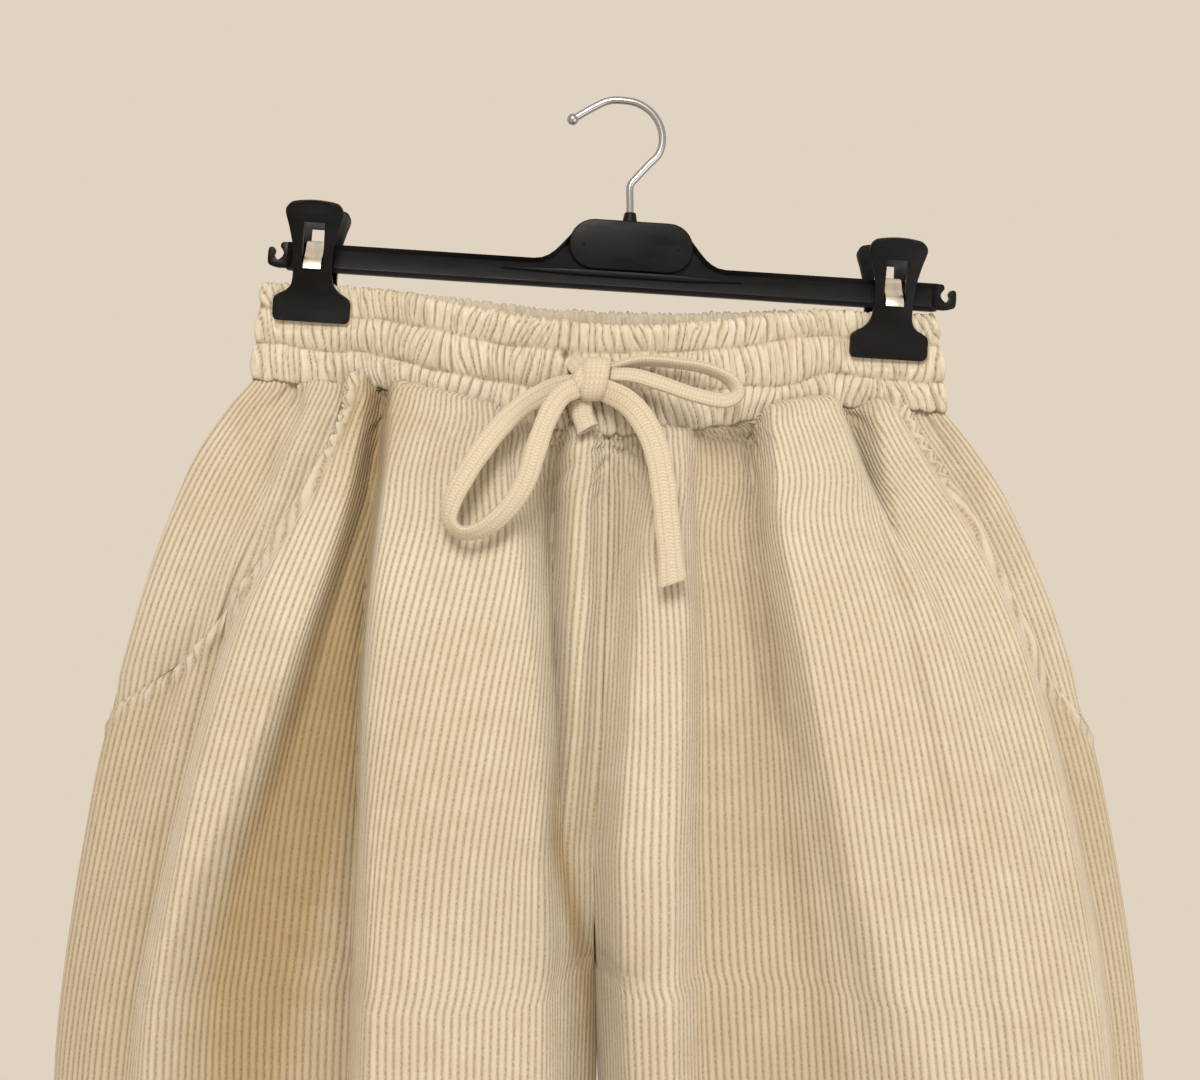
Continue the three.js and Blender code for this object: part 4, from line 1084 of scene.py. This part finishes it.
cords = {}
for key, wide, thick, steps, open_end, flare, slant in (
    ("loop_right", CORD_WIDE, CORD_THICK, 150, None, 0, 0),
    ("loop_left", CORD_WIDE - 2, CORD_THICK, 120, None, 0, 0),
    ("tail_long", CORD_WIDE + 2, CORD_THICK, 90, 4, 0.16, -0.28),
    ("tail_short", CORD_WIDE, CORD_THICK + 1, 24, 5, 0.12, -0.2),
    ("exit", 9.6, 3.0, 24, None, 0, 0),
):
    cords[key] = cord_sweep(f"cord_{key}", ROUTES[key], wide, thick, steps, open_end, flare, slant)
    dress(cords[key][0], f"drawstring_{key}", knit)

# %% [markdown]
# ## The knot
#
# The knot is one turn of the flat cord drawn tight around the roots of the loops. A smaller turn sits beside it, on
# the side where the cord comes out of its slit. Each turn is a band with rounded shoulders.

# %% Knot
KNOT = np.array([-17.5, -50, -147.6])


def knot_turn(centre, half_wide, deep, high, lean):
    """One turn of the cord round the knot: a short tube, flat between rounded shoulders, closed at its ends."""
    around = 40
    across = 14
    angle = np.linspace(0, 2 * math.pi, around, endpoint=False)[:, None]
    place = np.linspace(-1, 1, across)[None, :]
    shoulder = 0.72 + 0.28 * np.sqrt(np.maximum(0, 1 - np.abs(place) ** 3.2))
    y = deep * shoulder * (1 - 0.1 * np.cos(2 * angle) * place) * signed_power(np.sin(angle), 0.8)
    z = high * shoulder * signed_power(np.cos(angle), 0.8)
    x = half_wide * place * (1 + 0.06 * np.cos(angle)) + lean * z
    ring = np.stack(np.broadcast_arrays(x, y, z), axis=-1) + centre
    ends = []
    for sign, column in ((-1, 0), (1, across - 1)):
        middle = ring[:, column].mean(axis=0) + (sign * 0.6, 0, 0)
        ends.append(np.concatenate([mix(middle, ring[:, column], 0.6) + (sign * 0.2, 0, 0), middle[None]]))
    index = np.arange(around * across).reshape(around, across)
    quads, _ = grid_faces(np.concatenate([index, index[:1]], axis=0))
    closing, centres = [], []
    for number, column in ((0, 0), (1, across - 1)):
        start = around * across + number * (around + 1)
        for k in range(around):
            following = (k + 1) % around
            closing.append((index[k, column], index[following, column], start + following, start + k))
            centres.append((start + k, start + following, start + around))
    uv_rows = np.stack(np.broadcast_arrays(place * half_wide / 2.4 + 3, angle * 5.0), axis=-1).reshape(-1, 2)
    uv = np.concatenate([uv_rows, np.zeros((2 * (around + 1), 2))])
    return np.concatenate([ring.reshape(-1, 3), *ends]), np.concatenate([quads, closing]), np.array(centres), uv


def make_knot():
    turns = [knot_turn(KNOT, 6.8, 8.2, 11.2, 0.14), knot_turn(KNOT + (-8.2, 0.5, -1.4), 3.8, 6.9, 9.2, 0.42)]
    offset = len(turns[0][0])
    knot = new_object(
        "cord_knot",
        np.concatenate([turn[0] for turn in turns]),
        np.concatenate([turns[0][1], turns[1][1] + offset]),
        np.concatenate([turns[0][2], turns[1][2] + offset]),
        np.concatenate([turn[3] for turn in turns]),
    )
    face_outward(knot)
    return knot


knot = make_knot()
dress(knot, "drawstring_knot", knit)

# %% [markdown]
# ## The hanger
#
# The hanger is pressed and moulded: a steel wire hook, one bar with a thin recessed web, and two clips. Each clip
# has two jaws and a steel strip that passes over the bar and springs them together. All of it is made level and
# then tilted about the nail, because the hanger in the photograph hangs lower on one side.

# %% Hanger group
TILT = math.radians(3.7)
turned = np.array([[math.cos(TILT), 0, math.sin(TILT)], [0, 1, 0], [-math.sin(TILT), 0, math.cos(TILT)]])


def tilt(piece, shift=(0, 0, 0)):
    """Moves a level piece to its place along the bar and turns it about the nail, in its mesh."""
    count = len(piece.data.vertices)
    points = np.empty(count * 3)
    piece.data.vertices.foreach_get("co", points)
    points = (points.reshape(-1, 3) + np.array(shift) * MM) @ turned.T
    piece.data.vertices.foreach_set("co", points.ravel())
    piece.data.update()


def apply_modifiers(piece):
    only(piece)
    for modifier in list(piece.modifiers):
        bpy.ops.object.modifier_apply(modifier=modifier.name)
    bpy.ops.object.select_all(action="DESELECT")


def soften(piece, width, segments, angle=35):
    bevel = piece.modifiers.new("rounded edges", "BEVEL")
    bevel.width = width * MM
    bevel.segments = segments
    bevel.limit_method = "ANGLE"
    bevel.angle_limit = math.radians(angle)
    apply_modifiers(piece)
    only(piece)
    bpy.ops.object.shade_smooth_by_angle(angle=math.radians(40))
    bpy.ops.object.select_all(action="DESELECT")


# %% Hook
HOOK_ROUTE = [
    (7.6, -69.7), (7.6, -66), (7.2, -54), (6.6, -47), (6.8, -42.5), (9.4, -39), (15.5, -31.6), (20.6, -25.6),
    (22.2, -18.6), (20.6, -10.6), (15.6, -3.6), (8.2, 0.8), (0, 2), (-8, 1.2), (-16, -3), (-25.6, -9.4),
]
hook_line, hook_length = route_line([(x, 0, z, 0) for x, z in HOOK_ROUTE], 61)
hook_curve = bpy.data.curves.new("hook", "CURVE")
hook_curve.dimensions = "3D"
hook_curve.bevel_depth = 2 * MM
hook_curve.bevel_resolution = 5
hook_curve.use_fill_caps = True
spline = hook_curve.splines.new("POLY")
spline.points.add(len(hook_line) - 1)
for point, place in zip(spline.points, hook_line):
    point.co = (place[0] * MM, place[1] * MM, place[2] * MM, 1)
hook = link("wire_hook", hook_curve)
only(hook)
bpy.ops.object.convert(target="MESH")
hook = bpy.context.view_layer.objects.active
made_in_place(
    bpy.ops.mesh.primitive_uv_sphere_add, segments=24, ring_count=14, radius=3.1 * MM,
    location=(-26.2 * MM, 0, -9.8 * MM),
)
hook.select_set(True)
bpy.context.view_layer.objects.active = hook
bpy.ops.object.join()
bpy.ops.object.shade_smooth()
tilt(hook)
hook.name = "wire_hook"
dress(hook, "hanger_hook", wire_metal)
print("hook wire", round(hook_length), "mm long")

# %% [markdown]
# ### The bar
#
# The bar is an I-beam: a flat plate with a rim all round it, so that it is light and doesn't bend. It is made as
# a moulder would think of it. The outline is extruded to full thickness, each face is inset by the rim's width,
# and the inset face is pushed in to leave the web. A long oval plate in its middle is where a label would go.

# %% Bar
BAR_HALF = 181
BAR_TOP = -85
BAR_BOTTOM = -99.8
BAR_THICK = 8
WEB = 3
RIM = 2.6
HUB = (9, -75.7)
HUB_WIDE = 33
HUB_HIGH = 13.3
HUB_THICK = 9.4
SHANK_X = HUB[0] - 1.4


def curve_points(start, control_a, control_b, end, count):
    """Points on a Bezier curve, without its start."""
    t = np.linspace(0, 1, count + 1)[1:, None]
    start, control_a, control_b, end = (np.array(p, float) for p in (start, control_a, control_b, end))
    return (1 - t) ** 3 * start + 3 * t * (1 - t) ** 2 * control_a + 3 * t * t * (1 - t) * control_b + t ** 3 * end


def bar_outline():
    end = BAR_HALF - 8
    top = HUB[1] + HUB_HIGH
    reach = HUB_WIDE - 8
    right = HUB[0] + reach
    left = HUB[0] - reach
    points = [(-end, BAR_BOTTOM), (end, BAR_BOTTOM), (end, BAR_TOP), (right + 26, BAR_TOP)]
    rise = curve_points(points[-1], (right + 11, BAR_TOP), (right + 8, top), (right - 8, top), 10)
    points += [tuple(p) for p in rise]
    points.append((left + 8, top))
    fall = curve_points(points[-1], (left - 8, top), (left - 11, BAR_TOP), (left - 26, BAR_TOP), 10)
    points += [tuple(p) for p in fall]
    points.append((-end, BAR_TOP))
    return points


def extruded(name, outline, thick):
    """A flat outline in the hanger's plane, extruded with edit-mode tools and centred on the seam plane."""
    mesh = bpy.data.meshes.new(name)
    mesh.from_pydata([(x * MM, -thick / 2 * MM, z * MM) for x, z in outline], [], [range(len(outline))])
    piece = link(name, mesh)
    only(piece)
    bpy.ops.object.mode_set(mode="EDIT")
    bpy.ops.mesh.select_all(action="SELECT")
    bpy.ops.mesh.extrude_region_move(TRANSFORM_OT_translate={"value": (0, thick * MM, 0)})
    bpy.ops.object.mode_set(mode="OBJECT")
    face_outward(piece)
    bpy.ops.object.select_all(action="DESELECT")
    return piece


def recess_faces(piece, rim, deep):
    """Insets the two largest faces by the rim and pushes them in."""
    for sign in (-1, 1):
        only(piece)
        bpy.ops.object.mode_set(mode="EDIT")
        bpy.ops.mesh.select_mode(type="FACE")
        bpy.ops.mesh.select_all(action="DESELECT")
        bpy.ops.object.mode_set(mode="OBJECT")
        for polygon in piece.data.polygons:
            polygon.select = polygon.normal.y * sign > 0.9 and polygon.area > 0.002
        bpy.ops.object.mode_set(mode="EDIT")
        bpy.ops.mesh.inset(thickness=rim * MM)
        bpy.ops.transform.translate(value=(0, -sign * deep * MM, 0))
        bpy.ops.object.mode_set(mode="OBJECT")
    bpy.ops.object.select_all(action="DESELECT")


def oval(centre, wide, high, count=14):
    reach = wide - high
    right = [(centre[0] + reach + high * math.cos(a), centre[1] + high * math.sin(a))
             for a in np.linspace(-math.pi / 2, math.pi / 2, count)]
    left = [(centre[0] - reach + high * math.cos(a), centre[1] + high * math.sin(a))
            for a in np.linspace(math.pi / 2, 3 * math.pi / 2, count)]
    return right + left


def strap_hook_outline(sign):
    root = BAR_HALF - 9
    tip = BAR_TOP - 3
    low = BAR_BOTTOM
    pieces = [
        ((BAR_HALF + 2.5, low + 2), (BAR_HALF + 2.5, low + 7)),
        ((BAR_HALF + 2.3, tip), (BAR_HALF - 0.2, tip)),
        ((BAR_HALF - 1.6, tip - 2), (BAR_HALF - 0.6, low + 7.4)),
        ((BAR_HALF - 2.4, low + 4.4), (BAR_HALF - 5, low + 6.6)),
        ((BAR_HALF - 6.4, low + 9), (BAR_HALF - 4, BAR_TOP - 2.6)),
        ((BAR_HALF - 4.4, BAR_TOP), (root, BAR_TOP)),
    ]
    points = [(root, low + 1), (BAR_HALF - 3, low + 1)]
    for control, end in pieces:
        points += [tuple(p) for p in curve_points(points[-1], control, control, end, 5)]
    return [(sign * x, z) for x, z in points]


bar = extruded("hanger_bar_moulded", bar_outline(), BAR_THICK)
recess_faces(bar, RIM, (BAR_THICK - WEB) / 2)
soften(bar, 0.5, 2)
hub_plate = extruded("hub_plate", oval(HUB, HUB_WIDE, HUB_HIGH), HUB_THICK)
soften(hub_plate, 0.9, 3)
strap_hooks = []
for sign in (-1, 1):
    strap = extruded("strap_hook", strap_hook_outline(sign), BAR_THICK - 3)
    soften(strap, 0.7, 2)
    strap_hooks.append(strap)
boss = made_in_place(
    bpy.ops.mesh.primitive_cone_add, vertices=32, radius1=4.4 * MM, radius2=3.0 * MM, depth=7.4 * MM,
    location=(SHANK_X * MM, 0, (HUB[1] + HUB_HIGH + 1.3) * MM),
)
soften(boss, 0.8, 3)
pips = []
for offset in (-25.2, 25.2):
    pips.append(made_in_place(
        bpy.ops.mesh.primitive_uv_sphere_add, segments=12, ring_count=8, radius=0.6 * MM,
        location=((HUB[0] + offset) * MM, -HUB_THICK / 2 * MM, (HUB[1] - 0.6) * MM),
    ))
rib_outline = [(-60, -91), (HUB[0] - 24, -89.4), (HUB[0] + 24, -89.4), (70, -91.2), (HUB[0] + 30, -92.6),
               (HUB[0] - 30, -92.4)]
rib = extruded("bar_rib", rib_outline, BAR_THICK - 1.6)
soften(rib, 0.4, 2)
only(bar)
for extra in [hub_plate, boss, rib, *strap_hooks, *pips]:
    extra.select_set(True)
bpy.ops.object.join()
tilt(bar)
dress(bar, "hanger_bar", plastic)

# %% [markdown]
# ### The clips
#
# A jaw is one curved plate: broad and flat where it grips, narrow at its waist, and broad again where fingers
# press it. A window in it lets the spring through. The plate is modelled without thickness, then Solidify gives
# it a wall and Bevel rounds its edges.

# %% Clips
JAW = [
    (-127, 5.5, 20.2), (-120, 5.5, 20.4), (-114, 5.7, 19.6), (-110.5, 6.2, 14), (-106, 7.6, 10.8), (-98, 9.6, 9.9),
    (-88, 11.4, 10.4), (-77, 13, 12.8), (-70, 14.6, 14.8), (-66, 15.8, 14.8), (-64.4, 16.4, 14.6),
]
JAW_WALL = 2.6
JAW_FOOT = 127
JAW_TOP = 64.4
WINDOW = (-96, -75, 5.4)
CLIPS = {"right": -157.8, "left": 148}


def make_jaw(name, side):
    down = [-z for z, _, _ in JAW][::-1]
    away_column = [away for _, away, _ in JAW][::-1]
    half_column = [half for _, _, half in JAW][::-1]
    top_steps = np.array([0, 0.5, 1.2, 2.2, 3.6, 5.4, 7.6])
    foot_steps = np.array([0, 0.35, 0.9, 1.8, 3])
    window_top, window_foot = -WINDOW[1], -WINDOW[0]
    between = np.concatenate([np.arange(74, 123, 1.75), [window_top, window_foot]])
    levels = np.unique(np.concatenate([JAW_TOP + top_steps, JAW_FOOT - foot_steps, between]))
    for edge in (window_top, window_foot):
        levels = levels[(np.abs(levels - edge) > 0.7) | (levels == edge)]
    away = smooth_at(down, away_column, levels)
    half = smooth_at(down, half_column, levels)
    for end, radius in ((JAW_FOOT, 3), (JAW_TOP, 5)):
        near = np.clip(1 - np.abs(levels - end) / radius, 0, 1)
        half = half - radius * (1 - np.sqrt(1 - near ** 2))
    points = []
    for z, off, wide in zip(levels, away, half):
        core = WINDOW[2] if window_top - 1 < z < window_foot + 1 else min(WINDOW[2], 0.5 * wide)
        inner = np.linspace(-core, core, 7)
        flank = np.linspace(core, wide, 5)[1:]
        xs = np.concatenate([-flank[::-1], inner, flank])
        bow = 1.1 * (1 - (xs / 12) ** 2) * ease(110, 100, z) * ease(64, 73, z)
        crown = 0.9 * (1 - (xs / wide) ** 2) * ease(70, 64.4, z)
        points.append(np.stack([xs, side * (off + bow), -z + crown], axis=-1))
    points = np.array(points)
    rows, count = points.shape[:2]
    index = np.arange(rows * count).reshape(rows, count)
    quads, _ = grid_faces(index)
    middle = points.reshape(-1, 3)[quads].mean(axis=1)
    in_window = (np.abs(middle[:, 0]) < WINDOW[2]) & (middle[:, 2] > WINDOW[0]) & (middle[:, 2] < WINDOW[1])
    jaw = new_object(name, points.reshape(-1, 3), quads[~in_window])
    work = bmesh.new()
    work.from_mesh(jaw.data)
    bmesh.ops.delete(work, geom=[v for v in work.verts if not v.link_faces], context="VERTS")
    if sum(face.normal.y for face in work.faces) * side < 0:
        bmesh.ops.reverse_faces(work, faces=work.faces)
    work.to_mesh(jaw.data)
    work.free()
    wall = jaw.modifiers.new("wall", "SOLIDIFY")
    wall.thickness = JAW_WALL * MM
    wall.offset = 1
    apply_modifiers(jaw)
    soften(jaw, 0.7, 3, 50)
    return jaw


def make_spring(name):
    route = [
        (15.4, -99.6), (14.4, -96.6), (12.6, -94), (10.2, -92), (8.4, -89.8), (7, -87.2), (5.2, -84.9), (2.6, -84.2),
    ]
    line = route + [(0, -84.1)] + [(-y, z) for y, z in reversed(route)]
    mesh = bpy.data.meshes.new(name)
    points = [(sign * 4.7 * MM, y * MM, z * MM) for y, z in line for sign in (-1, 1)]
    faces = [(2 * k, 2 * k + 1, 2 * k + 3, 2 * k + 2) for k in range(len(line) - 1)]
    mesh.from_pydata(points, [], faces)
    spring = link(name, mesh)
    wall = spring.modifiers.new("strip", "SOLIDIFY")
    wall.thickness = 0.9 * MM
    wall.offset = 0
    apply_modifiers(spring)
    soften(spring, 0.2, 2, 50)
    return spring


for word, x in CLIPS.items():
    for face, side in (("front", -1), ("back", 1)):
        jaw = make_jaw(f"clip_{word}_{face}_plate", side)
        tilt(jaw, (x, 0, 0))
        dress(jaw, f"clip_{word}_{face}_jaw", plastic)
    spring = make_spring(f"clip_{word}_strip")
    tilt(spring, (x, 0, 0))
    dress(spring, f"clip_{word}_spring", spring_metal)

# %% [markdown]
# ## What each piece of cloth was cut from
#
# The panels are cut wider than they hang, because their folds take up cloth, and the band is cut about half as long
# again as the elastic lets it be.

# %% [markdown]
# ## Floor and light
#
# The floor is pale and plain and lies just below the hems. The key light is warm and stands high in front, so both
# sides of a fold fall off alike, as in the photograph. A larger, weaker and cooler fill stands low at the right.

# %% Stage
WALL = linear(225, 211, 193)
bpy.ops.mesh.primitive_plane_add(size=2.4, location=(0, 0, -1.135))
floor = bpy.context.view_layer.objects.active
floor.name = "floor"
floor_material, _, floor_shader = node_material("pale_floor", 0.9)
floor_shader.inputs["Base Color"].default_value = WALL
floor.data.materials.append(floor_material)

world = bpy.data.worlds.new("studio")
bpy.context.scene.world = world
world.use_nodes = True
background = world.node_tree.nodes["Background"]
background.inputs["Color"].default_value = WALL
background.inputs["Strength"].default_value = 1.0

for name, place, size, power, colour in (
    ("key", (-0.2, -1.55, 0.8), 0.6, 28, (1.0, 0.96, 0.9)),
    ("fill", (1.1, -1.2, -0.7), 1.2, 8, (0.98, 0.98, 1.0)),
):
    lamp = bpy.data.lights.new(name, "AREA")
    lamp.size = size
    lamp.energy = power
    lamp.color = colour
    holder = link(name, lamp)
    holder.location = place
    aim = np.array([0.0, 0.0, -0.35]) - np.array(place)
    pitch = math.atan2(np.hypot(aim[0], aim[1]), -aim[2])
    holder.rotation_euler = (pitch, 0, math.atan2(-aim[0], aim[1]))
bpy.context.scene.view_settings.view_transform = "Standard"
